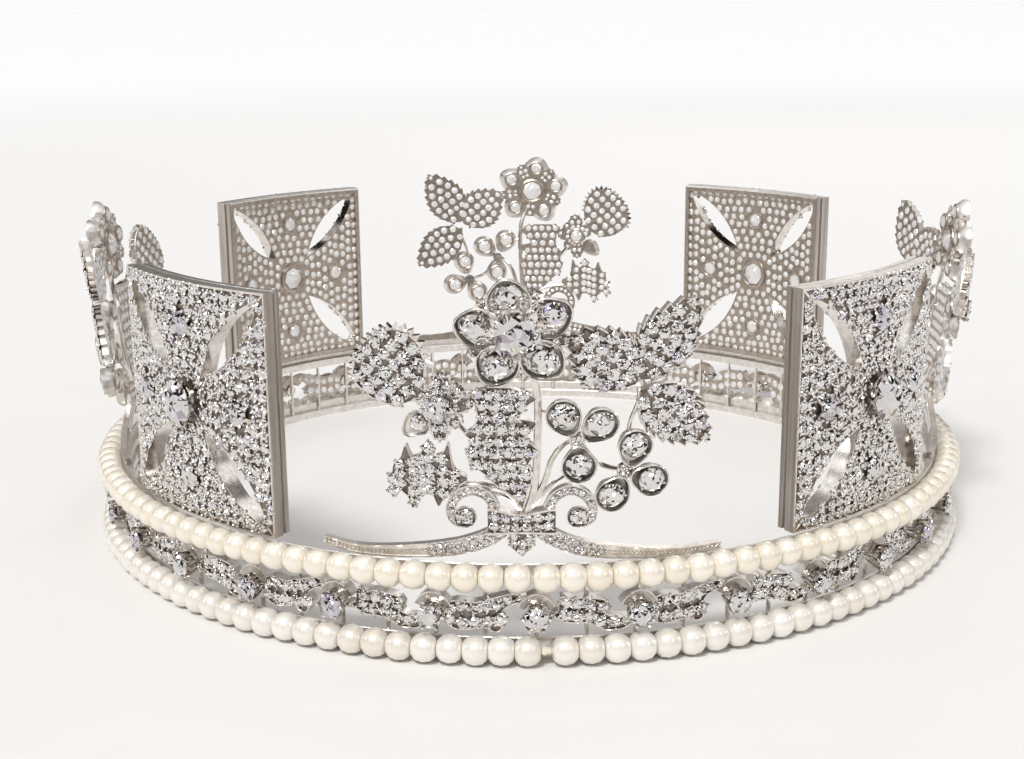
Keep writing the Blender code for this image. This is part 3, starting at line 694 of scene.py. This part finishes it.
def friezeShapes():
    # every motif drawn from the stone on its left, hook and wave by turns
    metal = [rimShape(0.0, frieze["rim"], frieze["rim"] + 0.5 * mm),
             rimShape(frieze["height"] - frieze["rim"], frieze["height"], frieze["height"])]
    stones = []
    collet, hood = colletShape(), hoodShape()
    motifs = []
    back, front = frieze["plateBack"], frieze["plateFront"]
    for rows in (waveRows, hookRows):
        low, high = [smoothPath(np.array(rows)[:, k] * mm * 0.985, 31) for k in (0, 1)]
        plate = plateShape(high, low, back, front, frieze["plateRim"], frieze["plateSunk"])
        places = rowsOfStones(high, low, frieze["pave"], *frieze["margins"])
        paved, grains = paveShapes(places, front - 0.05 * mm, 5, frieze["bead"], back)
        motifs.append((together([plate, grains]), paved))
    step = 2 * math.pi / frieze["stones"]
    postEnd = frieze["height"] / 2 - frieze["rim"] / 2
    post = barShape([(0, up, -0.1 * mm) for up in (-postEnd, 0, postEnd)], frieze["post"], 6)
    for k in range(frieze["stones"]):
        angle = k * step
        plate, paved = motifs[k % 2]
        metal += [wrapped(part, friezeSheet, angle) for part in (collet, hood, plate, post)]
        metal.append(wrapped(post, friezeSheet, angle + step / 2))
        stones.append(wrapped(paved, friezeSheet, angle))
    main = [wrapped(stamped(brilliant, [(0.0, 0.0, frieze["stoneOut"])], frieze["stone"] * 0.985,
                            rng.random() * math.pi, tilt=0.03), friezeSheet, k * step)
            for k in range(frieze["stones"])]
    return together(metal), together(stones), together(main)


friezeMetal, friezePave, friezeMain = friezeShapes()
makePiece("band_frieze", friezeMetal, silvers, "white_metal", ["band"])
makePiece("band_small_stones", friezePave, [paveZirconia, backZirconiaPaintedLight], "clear_stone")
makePiece("band_main_stones", friezeMain, [clearZirconia], "clear_stone")
print("frieze set")

# Crosses
cross = {"width": 43.0 * mm, "height": 43.2 * mm, "lens": 5.4 * mm, "near": 0.24, "far": 0.93, "centre": 8.4 * mm,
         "centreOut": 2.2 * mm, "arm": 5.0 * mm, "armOut": 0.30 * mm, "reach": 13.9 * mm, "sunk": 0.25 * mm,
         "border": 0.26 * mm, "sheetBack": 3.3 * mm, "pitch": 2.22 * mm, "pave": 2.02 * mm, "bead": 0.66 * mm,
         "firstRow": 4.9 * mm, "endMargin": 1.4 * mm, "sideMargin": 1.36 * mm, "centreRoom": 0.70 * mm,
         "armRoom": 0.80 * mm}
# the side wall from the front edge to the back: how far in from the outline, and how deep
wallProfile = ((0.12, 0.0), (0.0, -0.12), (0.0, -2.30), (0.40, -2.45), (0.40, -2.85), (0.05, -3.0), (0.05, -4.0),
               (0.35, -4.3), (1.25, -4.3), (1.35, -3.3))


def armEdges(halfWide, halfTall):
    # up the arm's right edge: the diagonal, pushed in by the lens cut's half width, 4 t (1 - t) of it
    near, far = cross["near"], cross["far"]
    share = np.concatenate((np.linspace(0.0, near, 4), near + (far - near) * np.linspace(0, 1, 22)[1:]))
    t = np.clip((share - near) / (far - near), 0, 1)
    push = cross["lens"] / 2 * 4 * t * (1 - t) / math.sqrt(2)
    return share * halfWide - push, share * halfTall + push, t


def armShape(halfWide, halfTall):
    # one arm: front rows out from the centre, the side wall's profile, the back rows in again
    wide, tall, t = armEdges(halfWide, halfTall)
    sunk, sheetBack = cross["sunk"], cross["sheetBack"]
    border = np.minimum(cross["border"], 0.2 * wide)
    fan = np.linspace(-1, 1, 9)

    def rows(half, up, edge, edgeDepth, middleDepth):
        x = np.concatenate((-half[:, None], (half - edge)[:, None] * fan[None], half[:, None]), 1)
        z = np.repeat(middleDepth[:, None], 11, 1)
        z[:, :2] = edgeDepth[:, None]
        z[:, -2:] = edgeDepth[:, None]
        return np.stack((x, np.repeat(up[:, None], 11, 1), z), -1)

    lift = np.where(t > 0, 0.0, -sunk)
    front = rows(wide, tall, border, lift, np.full(len(t), -sunk))
    inset = np.array([0.42 * mm, 0.36 * mm] + [row[0] * mm for row in wallProfile])
    depth = np.array([-sunk, 0.0] + [row[1] * mm for row in wallProfile])
    edge = np.full(len(inset), cross["border"])
    side = rows(halfWide - inset, halfTall - inset, edge, np.concatenate(([0.0], depth[1:])), depth)
    flatBack = np.full(len(t), -sheetBack)
    back = rows(wide[::-1], tall[::-1], border[::-1], flatBack, flatBack)
    grid = np.concatenate((front, side, back))
    shape = shapeOf(grid.reshape(-1, 3), gridQuads(len(grid), 11))
    row = np.repeat(np.arange(len(grid) - 1), 10)
    strip = np.tile(np.arange(10), len(grid) - 1)
    shape["finish"] = np.where(row > len(front) + 8, 2, np.where(row > len(front) + 1, 1, 0))
    # the sunk front field between the borders takes the darker metal of slot 3: painted shade in the gaps between the
    # stones
    shape["finish"][(row < len(front)) & (strip > 0) & (strip < 9)] = 3
    # the polished walls of the lens cuts, from the front edge to the back
    walls = []
    for column in (0, 10):
        strip = np.stack((front[:, column], back[::-1, column]), 1)[3:]
        walls.append(shapeOf(strip.reshape(-1, 3), gridQuads(len(strip), 2)))
    return together([shape] + walls)


def settingShape(stone, out, claws, base, thick):
    # an open basket: a foot ring, a gallery ring, and claws that rise to beads over the stone's girdle
    rings = [(0.52, base, 0.9), (0.78, base + (out - base) * 0.55, 0.8)]
    parts = [turnedShape([(share * stone * 0.5 + r * thick, depth + d * thick * size) for r, d in
                          ((-0.8, -0.8), (0.8, -0.8), (0.8, 0.8), (-0.8, 0.8), (-0.8, -0.8))], 20)
             for share, depth, size in rings]
    return together(parts + clawShapes(claws, stone, (0.50, 0.82, 1.07, 1.05, 0.84), (
        base, base + (out - base) * 0.55, out - 0.1 * mm, out + 0.30 * mm, out + 0.58 * mm),
        np.array((0.9, 0.9, 1.0, 1.1, 0.7)) * thick))


def beadRing(reach, out, size, count):
    # beads round a stone, count of them at even turns
    return stamped(grainBead, circlePoints((np.arange(count) + 0.5) * 2 * math.pi / count, reach, out), size)


def stoneBehind(size, back, across=0.0, up=0.0):
    # a larger stone's open ring and point at the back: metal, stone
    ring, point = moved(backRing, scale=size * 0.46), moved(backPoint, scale=size * 0.66)
    return moved(ring, across, up, back), moved(point, across, up, back)


def armPaveSpots(halfWide, halfTall):
    # rows across one arm, leaving room for its borders, the arm's stone and the centre's setting
    wide, tall, _ = armEdges(halfWide, halfTall)
    pitch = cross["pitch"]
    spots = []
    first, last = cross["firstRow"], halfTall - cross["endMargin"]
    for up in np.linspace(first, last, int((last - first) / (0.9 * pitch) + 0.6) + 1):
        half = np.interp(up, np.append(tall, halfTall), np.append(wide, halfWide)) - cross["sideMargin"]
        if half > -0.50 * mm:
            count = int(2 * max(half, 0.0) / pitch + 0.2) + 1
            shift = 0.25 * pitch * (-1) ** len(spots) if half < 0.4 * halfWide else 0.0
            across = np.linspace(-half, half, count) if count > 1 else np.array([shift])
            spots.append(np.column_stack((across, np.full(count, up), np.full(count, cross["pave"]))))
    spots = np.vstack(spots)
    far = np.hypot(*spots.T[:2]) > cross["centre"] / 2 + cross["centreRoom"]
    clear = np.hypot(spots[:, 0], spots[:, 1] - cross["reach"]) > cross["arm"] / 2 + cross["armRoom"]
    spots = spots[far & clear]
    spots[:, :2] += rng.normal(0, 0.16 * mm, (len(spots), 2))
    return spots


def crossShapes():
    # four arms welded along their diagonals, then settings, small stones and the five main stones
    half = (cross["width"] / 2, cross["height"] / 2)
    arms, metal, small, main = [], [], [], []
    places = [(0.0, 0.0)]
    for k in range(4):
        wide, tall = half if k % 2 == 0 else half[::-1]
        turn = k * math.pi / 2
        arm = armShape(wide, tall)
        if k == 0:
            arm["finish"][arm["finish"] == 1] = 4  # the top arm's edge takes the lighter metal of slot 4, a painted highlight for the light from above: a bright line
        arms.append(moved(arm, turn=turn))
        spots = armPaveSpots(wide, tall)
        spots = np.column_stack((*rotated(spots[:, 0], spots[:, 1], turn), spots[:, 2]))
        stones, grains = paveShapes(spots, -0.05 * mm, 5, cross["bead"], -cross["sheetBack"])
        small.append(stones)
        metal.append(grains)
        places.append(rotated(0.0, cross["reach"], turn))
    plate = welded(together(arms), 2e-6)
    for k, (across, up) in enumerate(places):
        size, out = (cross["arm"], cross["armOut"]) if k else (cross["centre"], cross["centreOut"])
        if k == 0:
            metal.append(settingShape(size, out, 6, -0.3 * mm, 0.42 * mm))
            metal.append(beadRing(size * 0.56, -0.05 * mm, 0.8 * mm, 14))
        else:
            metal.append(moved(beadRing(size * 0.52, out + 0.05 * mm, 0.8 * mm, 8), across, up))
        ring, point = stoneBehind(size, -cross["sheetBack"], across, up)
        metal.append(ring)
        small.append(point)
        main.append(stamped(brilliant, [(across, up, out)], size * 0.98, 0.2 + k, tilt=0.02))
    return together([plate] + metal), together(small), together(main)


crossParts = crossShapes()
for quarter, turns in (("front_left", -1), ("front_right", 1), ("back_right", 3), ("back_left", -3)):
    metal, small, main = [moved(wrapped(part, crossSheet), turn=turns * math.pi / 4) for part in crossParts]
    node = "cross_" + quarter
    makePiece(node + "_plate", metal, silvers, "white_metal", [node])
    makePiece(node + "_small_stones", small, [paveZirconia, backZirconiaPaintedLight], "clear_stone")
    makePiece(node + "_main_stones", main, [clearZirconia], "clear_stone",
              [node + "_stone_" + place for place in ("centre", "top", "bottom", "left", "right")])
print("crosses set")

# Flower sprays. Places are (across from the knot's middle, height over the floor) in mm
spray = {"turn": math.radians(-1.5), "plate": 1.3 * mm, "back": 0.15 * mm, "pave": 2.2 * mm,
         "rose": (-0.6, 57.2), "roseStone": 7.4 * mm, "roseOut": 3.4 * mm, "petalReach": 5.5 * mm,
         "petal": 3.4 * mm, "petalStone": 4.1 * mm, "calyx": (-12.4, 45.0), "thistleStone": 4.6 * mm,
         "thistleOut": 3.5 * mm, "leaflet": 2.8 * mm, "leafletStone": 4.15 * mm, "stem": 0.48 * mm}
petalTurns = (100, 168, 240, 314, 31)
sepals = ((134, 7.4), (204, 7.6), (66, 7.2), (352, 7.8), (276, 6.4))  # direction, reach
roseLeaves = (  # base, tip, width
    ((17.6, 48.6), (7.5, 57.0), 9.6), ((18.2, 49.2), (26.6, 62.3), 9.0), ((18.4, 47.2), (30.3, 37.6), 8.8),
)
thistleHead = (  # the flower's brush, from its calyx out: left and right edge of each row
    ((-16.9, 45.8), (-15.1, 47.3)), ((-19.0, 44.9), (-14.6, 49.3)), ((-21.2, 45.1), (-14.3, 51.3)),
    ((-22.9, 45.8), (-14.5, 53.5)), ((-24.4, 46.9), (-15.2, 55.5)), ((-25.6, 48.3), (-16.5, 57.1)),
    ((-26.0, 49.9), (-18.0, 57.8)), ((-25.5, 51.9), (-19.7, 57.7)), ((-24.7, 53.7), (-21.4, 57.1)),
    ((-23.7, 55.1), (-22.5, 56.2)),
)
calyxLobes = (  # direction, reach, width
    (84, 5.9, 3.4), (8, 5.2, 3.0), (-50, 4.6, 2.6), (-92, 6.3, 3.0), (45, 4.6, 2.6), (150, 4.0, 3.0),
)
thistleLeafRows = (  # height, left, right
    (48.1, -5.4, -1.2), (47.4, -7.5, 0.6), (46.4, -7.9, 2.6), (45.5, -7.2, 1.5), (44.2, -6.9, 0.5), (43.0, -6.8, -0.1),
    (42.4, -7.0, 2.4), (41.3, -7.5, 2.1), (40.2, -8.8, 0.8), (39.3, -8.0, 1.0), (38.0, -8.3, 2.4), (36.9, -8.8, 2.8),
    (35.9, -8.0, 1.7), (34.9, -8.3, 1.3), (34.0, -6.8, 1.7), (33.0, -5.6, 2.0), (32.0, -4.7, 1.8), (30.8, -3.3, 1.2),
    (29.4, -1.6, 0.9), (27.4, -0.5, 0.4),
)
hollyRows = (  # across, bottom, top
    (-8.6, 32.0, 32.9), (-10.4, 30.7, 33.9), (-11.0, 30.0, 35.4), (-11.4, 29.6, 38.5), (-12.3, 29.0, 36.9),
    (-13.3, 27.2, 36.4), (-14.1, 29.0, 37.0), (-14.8, 29.3, 38.8), (-15.8, 29.1, 36.8), (-16.8, 28.4, 36.0),
    (-17.6, 26.6, 36.2), (-18.3, 28.6, 38.0), (-19.1, 29.4, 36.0), (-19.9, 30.4, 34.9), (-20.5, 29.0, 34.2),
    (-21.1, 28.1, 29.4),
)
clovers = (  # boss, then its three leaflets
    ((8.7, 39.1), ((6.4, 43.8), (12.2, 42.2), (8.9, 35.0))),
    ((16.4, 33.3), ((17.6, 38.2), (14.2, 29.7), (20.5, 32.0))),
)
ribbonSides = (  # across, height, width
    ((-3.2, 23.3, 2.8), (-6.0, 21.6, 3.0), (-9.6, 20.3, 2.9), (-13.5, 19.5, 2.7), (-18.0, 18.9, 2.4),
     (-23.5, 18.4, 2.0), (-28.5, 18.3, 1.7), (-34.2, 19.2, 1.3)),
    ((3.2, 23.3, 2.8), (6.0, 21.4, 2.9), (9.8, 19.9, 2.8), (13.5, 19.1, 2.5), (18.0, 18.5, 2.1),
     (25.6, 17.9, 1.6), (34.0, 18.1, 1.3)),
)
curlPath = ((4.2, 27.2), (5.4, 29.3), (7.6, 30.4), (10.0, 29.5), (11.3, 27.4), (11.1, 25.2), (9.8, 24.0))
curlBud = (9.0, 25.8)
stems = (  # radius share, path
    (1.25, ((0.9, 26.5), (2.1, 31.0), (2.5, 38.0), (2.6, 45.5), (1.8, 50.0), (-0.2, 54.5))),
    (0.95, ((-4.2, 36.0), (-8.0, 39.6), (-10.6, 42.6))),
    (0.95, ((0.0, 27.0), (-2.4, 30.0), (-6.5, 31.4), (-10.4, 31.6))),
    (0.70, ((-0.4, 27.0), (-2.2, 29.0), (-5.6, 30.1), (-9.0, 31.0))),
    (1.00, ((1.2, 27.0), (3.6, 31.6), (4.8, 35.6), (6.8, 38.4), (8.7, 39.1))),
    (0.90, ((1.6, 27.4), (4.4, 30.8), (7.4, 33.2))),
    (0.90, ((8.7, 39.1), (12.0, 34.9), (16.4, 33.3))),
    (0.70, ((16.8, 37.6), (17.0, 41.4), (18.2, 45.2), (18.2, 47.6))),
    (0.60, ((1.4, 57.0), (5.6, 57.2), (8.2, 56.4))),
    (0.60, ((2.6, 44.2), (4.6, 43.8), (6.6, 44.2))),
)


def flat(places):
    # from mm across and over the floor to metres across and up the leaning sheet
    places = np.asarray(places, float)
    up = (places[..., 1] - spraySheet["foot"] / mm) / math.cos(spraySheet["lean"])
    return np.stack((places[..., 0], up), -1) * mm


def wayOf(degrees):
    # the direction across and up: cos and sin of the turn
    return np.array((math.cos(math.radians(degrees)), math.sin(math.radians(degrees))))


def setWith(plate, places, out, beadSize=0.60 * mm, beads=4, back=spray["back"]):
    # a plate with its beads, and its stones
    stones, grains = paveShapes(places, out, beads, beadSize, back)
    return together([plate, grains]), stones


def leafShape(base, tip, width, teeth, pave, crown):
    # half width * sin(pi * u ** 0.82) along the axis, sharper to the tip, its edge cut in forward teeth
    base, tip = flat(base), flat(tip)
    axis = tip - base
    length = np.linalg.norm(axis)
    axis = axis / length
    normal = np.array([-axis[1], axis[0]])
    count = max(teeth, 5)
    tooth = np.tile((0.0, 0.55, 1.0), count)
    u = (np.repeat(np.arange(count), 3) + np.tile((0.02, 0.55, 0.97), count)) / count
    half = width / 2 * mm * np.sin(math.pi * np.clip(u, 0, 1) ** 0.82) ** (0.75 + 0.35 * u)
    half = np.maximum(half, 0.12 * mm)
    cut = half + (0.085 * width * mm * tooth * (half > 0.5 * mm) if teeth else 0.0)
    spine = base + axis * (u * length)[:, None]
    lead = axis * (0.6 * mm * tooth * (half > 0.6 * mm))[:, None] if teeth else 0.0
    left, right = spine + normal * cut[:, None] + lead, spine - normal * cut[:, None] + lead
    plate = plateShape(left, right, spray["back"], spray["plate"], 0.26 * mm, 0.26 * mm, crown)
    places = rowsOfStones(spine + normal * half[:, None], spine - normal * half[:, None], pave, 0.50 * pave,
                          0.75 * pave, 0.55 * pave)
    return setWith(plate, places, spray["plate"] - 0.06 * mm + crown * 0.75, 0.3 * pave)


def rowsPlate(left, right, pave, count, rim, first, last):
    # a plate through rows of points, pave-set between its rims
    left, right = smoothPath(flat(left), count), smoothPath(flat(right), count)
    plate = plateShape(left, right, spray["back"], spray["plate"], rim, 0.26 * mm)
    places = rowsOfStones(left, right, pave, rim + 0.40 * pave, first, last)
    return setWith(plate, places, spray["plate"] - 0.06 * mm)


def cupShape(radius, tip, rim, floor, sides=24):
    # an open cup, its outline drawn out toward +up to a soft point; the back satin
    back = spray["back"]
    profile = ((0.0, back), (0.66, back), (0.95, rim * 0.55), (1.0, rim - 0.1 * mm), (0.97, rim),
               (0.92, rim - 0.05 * mm), (0.82, floor + 0.3 * mm), (0.6, floor), (0.0, floor))
    # the outer and inner walls take the lighter metal of slot 4, a painted highlight that lifts the shade inside the
    # cup
    return turnedShape(profile, sides, lambda turn: radius * (1 + tip * np.clip(np.cos(turn), 0, 1) ** 7),
                       np.repeat((2, 4, 4, 0, 0, 4, 4, 1), sides))


def roseShape():
    # five cupped petals each with a stone, pointed sepals between them, and a claw setting in the middle
    middle = flat(spray["rose"])
    metal, stones = [], []
    for degrees in petalTurns:
        turn = math.radians(degrees - 90)
        size = spray["petalStone"]
        cup = cupShape(spray["petal"], 0.16, 2.6 * mm, 1.0 * mm)
        inner = 0.8 * mm  # the stone sits toward the petal's tip, clear of the one in the heart
        petal = together([cup, moved(beadRing(size * 0.50, 2.0 * mm, 0.62 * mm, 5), up=inner)])
        ring, point = stoneBehind(size, spray["back"], 0.0, inner)
        stone = together([stamped(brilliant, [(0.0, inner, 1.9 * mm)], size, 0.3), point])
        place = middle + rotated(0.0, spray["petalReach"], turn)
        metal.append(moved(together([petal, ring]), *place, turn=turn))
        stones.append(moved(stone, *place, turn=turn))
    for degrees, reach in sepals:
        base, tip = (np.array(spray["rose"]) + wayOf(degrees) * away for away in (3.2, reach + 0.6))
        plate, small = leafShape(base, tip, 3.0, 4, 1.5 * mm, 0.1 * mm)
        metal.append(plate)
        stones.append(small)
    # the disc's top, under the setting, takes the darker metal of slot 3: painted shade under the stone
    disc = turnedShape(((0.0, 0.15), (4.6, 0.15), (4.6, 1.0), (3.0, 1.4), (0.0, 1.4)), 24,
                       finish=np.repeat((2, 0, 0, 3), 24))
    disc["points"] *= mm
    ring, point = stoneBehind(spray["roseStone"], spray["back"])
    metal += [moved(disc, *middle), moved(ring, *middle)]
    stones.append(moved(point, *middle))
    metal.append(moved(settingShape(spray["roseStone"], spray["roseOut"], 8, 1.3 * mm, 0.30 * mm), *middle))
    return metal, stones


def thistleShape():
    # the brush is a plate through its rows, its outer edge toothed; pointed lobes stand round the calyx
    middle = flat(spray["calyx"])
    rows = np.array(thistleHead)
    left, right = smoothPath(flat(rows[:, 0]), 41), smoothPath(flat(rows[:, 1]), 41)
    plate = moved(plateShape(left, right, 0.0, 1.4 * mm, 0.3 * mm, 0.28 * mm, 0.4 * mm), out=0.4 * mm)
    places = rowsOfStones(left, right, spray["pave"], 1.25 * mm, 1.4 * mm, 1.0 * mm)
    brush, brushStones = setWith(plate, places, 2.0 * mm, 0.66 * mm, 4, 0.4 * mm)
    metal, stones = [brush], [brushStones]
    edge = np.vstack((left[20:], right[:9:-1]))
    run = runAlong(edge)
    places = raised(pointsAt(np.arange(0.5 * mm, run[-1], 1.15 * mm), run, edge), 1.2 * mm)
    ahead = np.gradient(places[:, :2], axis=0)
    metal.append(stamped(tooth, places, 1.25 * mm, np.arctan2(ahead[:, 1], ahead[:, 0])))
    for degrees, reachOut, width in calyxLobes:
        base, tip = (np.array(spray["calyx"]) + wayOf(degrees) * away for away in (1.2, reachOut))
        plate, small = leafShape(base, tip, width, 4, 1.5 * mm, 0.15 * mm)
        metal.append(moved(plate, out=0.25 * mm))
        stones.append(moved(small, out=0.25 * mm))
    petal = flat((-15.9, 42.0))
    metal.append(moved(cupShape(2.15 * mm, 0.5, 1.9 * mm, 0.9 * mm, 20), *petal, turn=math.radians(131)))
    stones.append(moved(stamped(brilliant, [(0, 0, 1.6 * mm)], 2.5 * mm, 0.0), *petal))
    ring, point = stoneBehind(spray["thistleStone"], spray["back"], *middle)
    metal.append(ring)
    stones.append(point)
    metal.append(moved(settingShape(spray["thistleStone"], spray["thistleOut"], 6, 1.2 * mm, 0.30 * mm), *middle))
    return metal, stones


def cloverShape(boss, leaflets):
    # three pointed cups with a bright stone in each, round a boss with a small one
    metal, stones = [], []
    for leaflet in leaflets:
        way = np.array(boss) - np.array(leaflet)
        turn = math.atan2(-way[0], way[1])
        size = spray["leafletStone"]
        cup = cupShape(spray["leaflet"], 0.34, 2.7 * mm, 1.1 * mm)
        beads = beadRing(size * 0.51, 2.45 * mm, 0.62 * mm, 3)
        ring, point = stoneBehind(size * 1.15, spray["back"])
        stone = together([stamped(brilliant, [(0.0, 0.0, 2.35 * mm)], size, 0.2), point])
        metal.append(moved(together([cup, beads, ring]), *flat(leaflet), turn=turn))
        stones.append(moved(stone, *flat(leaflet), turn=turn))
    metal.append(moved(turnedShape(((0.0, spray["back"]), (1.25 * mm, spray["back"]), (1.35 * mm, 1.3 * mm),
                                    (1.0 * mm, 1.5 * mm), (0.0, 1.2 * mm)), 12), *flat(boss)))
    metal.append(moved(beadRing(1.0 * mm, 1.7 * mm, 0.55 * mm, 4), *flat(boss)))
    stones.append(moved(stamped(brilliant, [(0, 0, 1.75 * mm)], 1.9 * mm, 0.4), *flat(boss)))
    return metal, stones


def bandAlong(path, widths, pave, share, front, rim):
    # a flat band along a path, edges at half its width either side; stones on the first share of it
    path = np.asarray(path)
    along = np.gradient(path, axis=0)
    normal = np.column_stack((-along[:, 1], along[:, 0])) / np.linalg.norm(along, axis=1)[:, None]
    left, right = path + normal * widths[:, None] / 2, path - normal * widths[:, None] / 2
    plate = plateShape(left, right, 0.05 * mm, front, rim, 0.22 * mm)
    # the band's sunk field takes the lighter metal of slot 4, a painted highlight
    plate["finish"][plate["finish"] == 3] = 4
    stop = max(int(len(path) * share), 3)
    places = rowsOfStones(left[:stop], right[:stop], pave, rim + 0.36 * pave, 0.6 * pave, 0.5 * pave, True)
    metal, stones = setWith(plate, places, front - 0.05 * mm, 0.42 * mm, 3, 0.05 * mm)
    if share < 0.99:
        # past the stones a row of fine beads, 0.75 mm apart
        run = runAlong(path[stop - 1:])
        spots = pointsAt(np.arange(0.2 * mm, run[-1] - 0.3 * mm, 0.75 * mm), run, path[stop - 1:])
        beads = raised(spots, front - 0.2 * mm)
        metal = together([metal, stamped(grainBead, beads, 0.72 * mm)])
    return metal, stones


def ribbonShape():
    # two arms that come down from the knot onto the rim, two curls, the knot and the drop under it
    metal, stones = [], []
    for side in ribbonSides:
        table = smoothPath(np.array(side), 49)
        part, small = bandAlong(flat(table[:, :2]), table[:, 2] * mm, 1.35 * mm, 0.52, 1.2 * mm, 0.24 * mm)
        metal.append(part)
        stones.append(small)
    for side in (-1, 1):
        path = smoothPath(np.array(curlPath) * (side, 1.0), 33)
        widths = np.interp(np.arange(33), (0, 8, 26, 32), (1.6, 1.9, 1.7, 1.0)) * mm
        part, small = bandAlong(flat(path), widths, 1.3 * mm, 1.0, 1.3 * mm, 0.22 * mm)
        bud = flat((side * curlBud[0], curlBud[1]))
        metal += [part, moved(cupShape(1.85 * mm, 0.1, 1.9 * mm, 0.7 * mm, 22), *bud, turn=-side * 2.2),
                  moved(beadRing(1.4 * mm, 1.75 * mm, 0.55 * mm, 4), *bud)]
        stones += [small, moved(stamped(brilliant, [(0, 0, 1.6 * mm)], 2.7 * mm, 0.1), *bud)]
    across = np.linspace(-5.4, 5.4, 17)
    sag = 0.45 * np.cos(across / 5.4 * math.pi)
    top, bottom = np.column_stack((across, 27.1 - sag)), np.column_stack((across, 23.0 + 0.2 * sag))
    plate = plateShape(flat(top), flat(bottom), 0.0, 2.1 * mm, 0.38 * mm, 0.3 * mm)
    spots = flat([(x, z + 0.12 * x * x / 8) for x in np.linspace(-4.3, 4.3, 6) for z in (24.1, 25.8)])
    part, small = setWith(plate, raised(spots, 1.68 * mm), 2.0 * mm, 0.5 * mm, 4, 0.0)
    metal.append(part)
    stones.append(small)
    part, small = leafShape((0.0, 23.6), (0.0, 19.0), 4.6, 0, 1.7 * mm, 0.2 * mm)
    metal.append(moved(part, out=0.4 * mm))
    stones.append(moved(small, out=0.4 * mm))
    return metal, stones


def sprayShapes():
    # everything soldered together, its small stones, and the rose's and the thistle's main stones
    thistle, holly = np.array(thistleLeafRows), np.array(hollyRows)
    leaves = [leafShape(base, tip, width, 9, spray["pave"], 0.5 * mm) for base, tip, width in roseLeaves]
    leaves.append(rowsPlate(thistle[:, [1, 0]], thistle[:, [2, 0]], 2.05 * mm, 77, 0.28 * mm, 1.1 * mm, 2.0 * mm))
    leaves.append(rowsPlate(holly[:, [0, 2]], holly[:, [0, 1]], 1.95 * mm, 61, 0.26 * mm, 2.0 * mm, 1.0 * mm))
    groups = [zip(*leaves), roseShape(), thistleShape(), ribbonShape()]
    groups += [cloverShape(*clover) for clover in clovers]
    metal, stones = ([part for parts in kind for part in parts] for kind in zip(*groups))
    for share, path in stems:
        line = smoothPath(flat(path), 4 * len(path))
        thick = spray["stem"] * share * np.linspace(1.12, 0.9, len(line))
        metal.append(barShape(raised(line, 0.65 * mm), thick, 8))
    main = [moved(stamped(brilliant, [(0, 0, out)], size, 0.2, 0.2), *flat(spray[place]))
            for place, size, out in (("rose", spray["roseStone"] * 0.98, spray["roseOut"]),
                                     ("calyx", spray["thistleStone"] * 0.98, spray["thistleOut"]))]
    return together(metal), together(stones), together(main)


sprayParts = [wrapped(part, spraySheet) for part in sprayShapes()]
for k, side in enumerate(("front", "right", "back", "left")):
    metal, small, main = [moved(part, turn=k * math.pi / 2 + spray["turn"]) for part in sprayParts]
    node = "spray_" + side
    makePiece(node + "_metal", metal, silvers, "white_metal", [node])
    makePiece(node + "_small_stones", small, [paveZirconia, backZirconiaPaintedLight], "clear_stone")
    makePiece(node + "_main_stones", main, [clearZirconia], "clear_stone",
              [node + "_rose_stone", node + "_thistle_stone"])
print("sprays set")
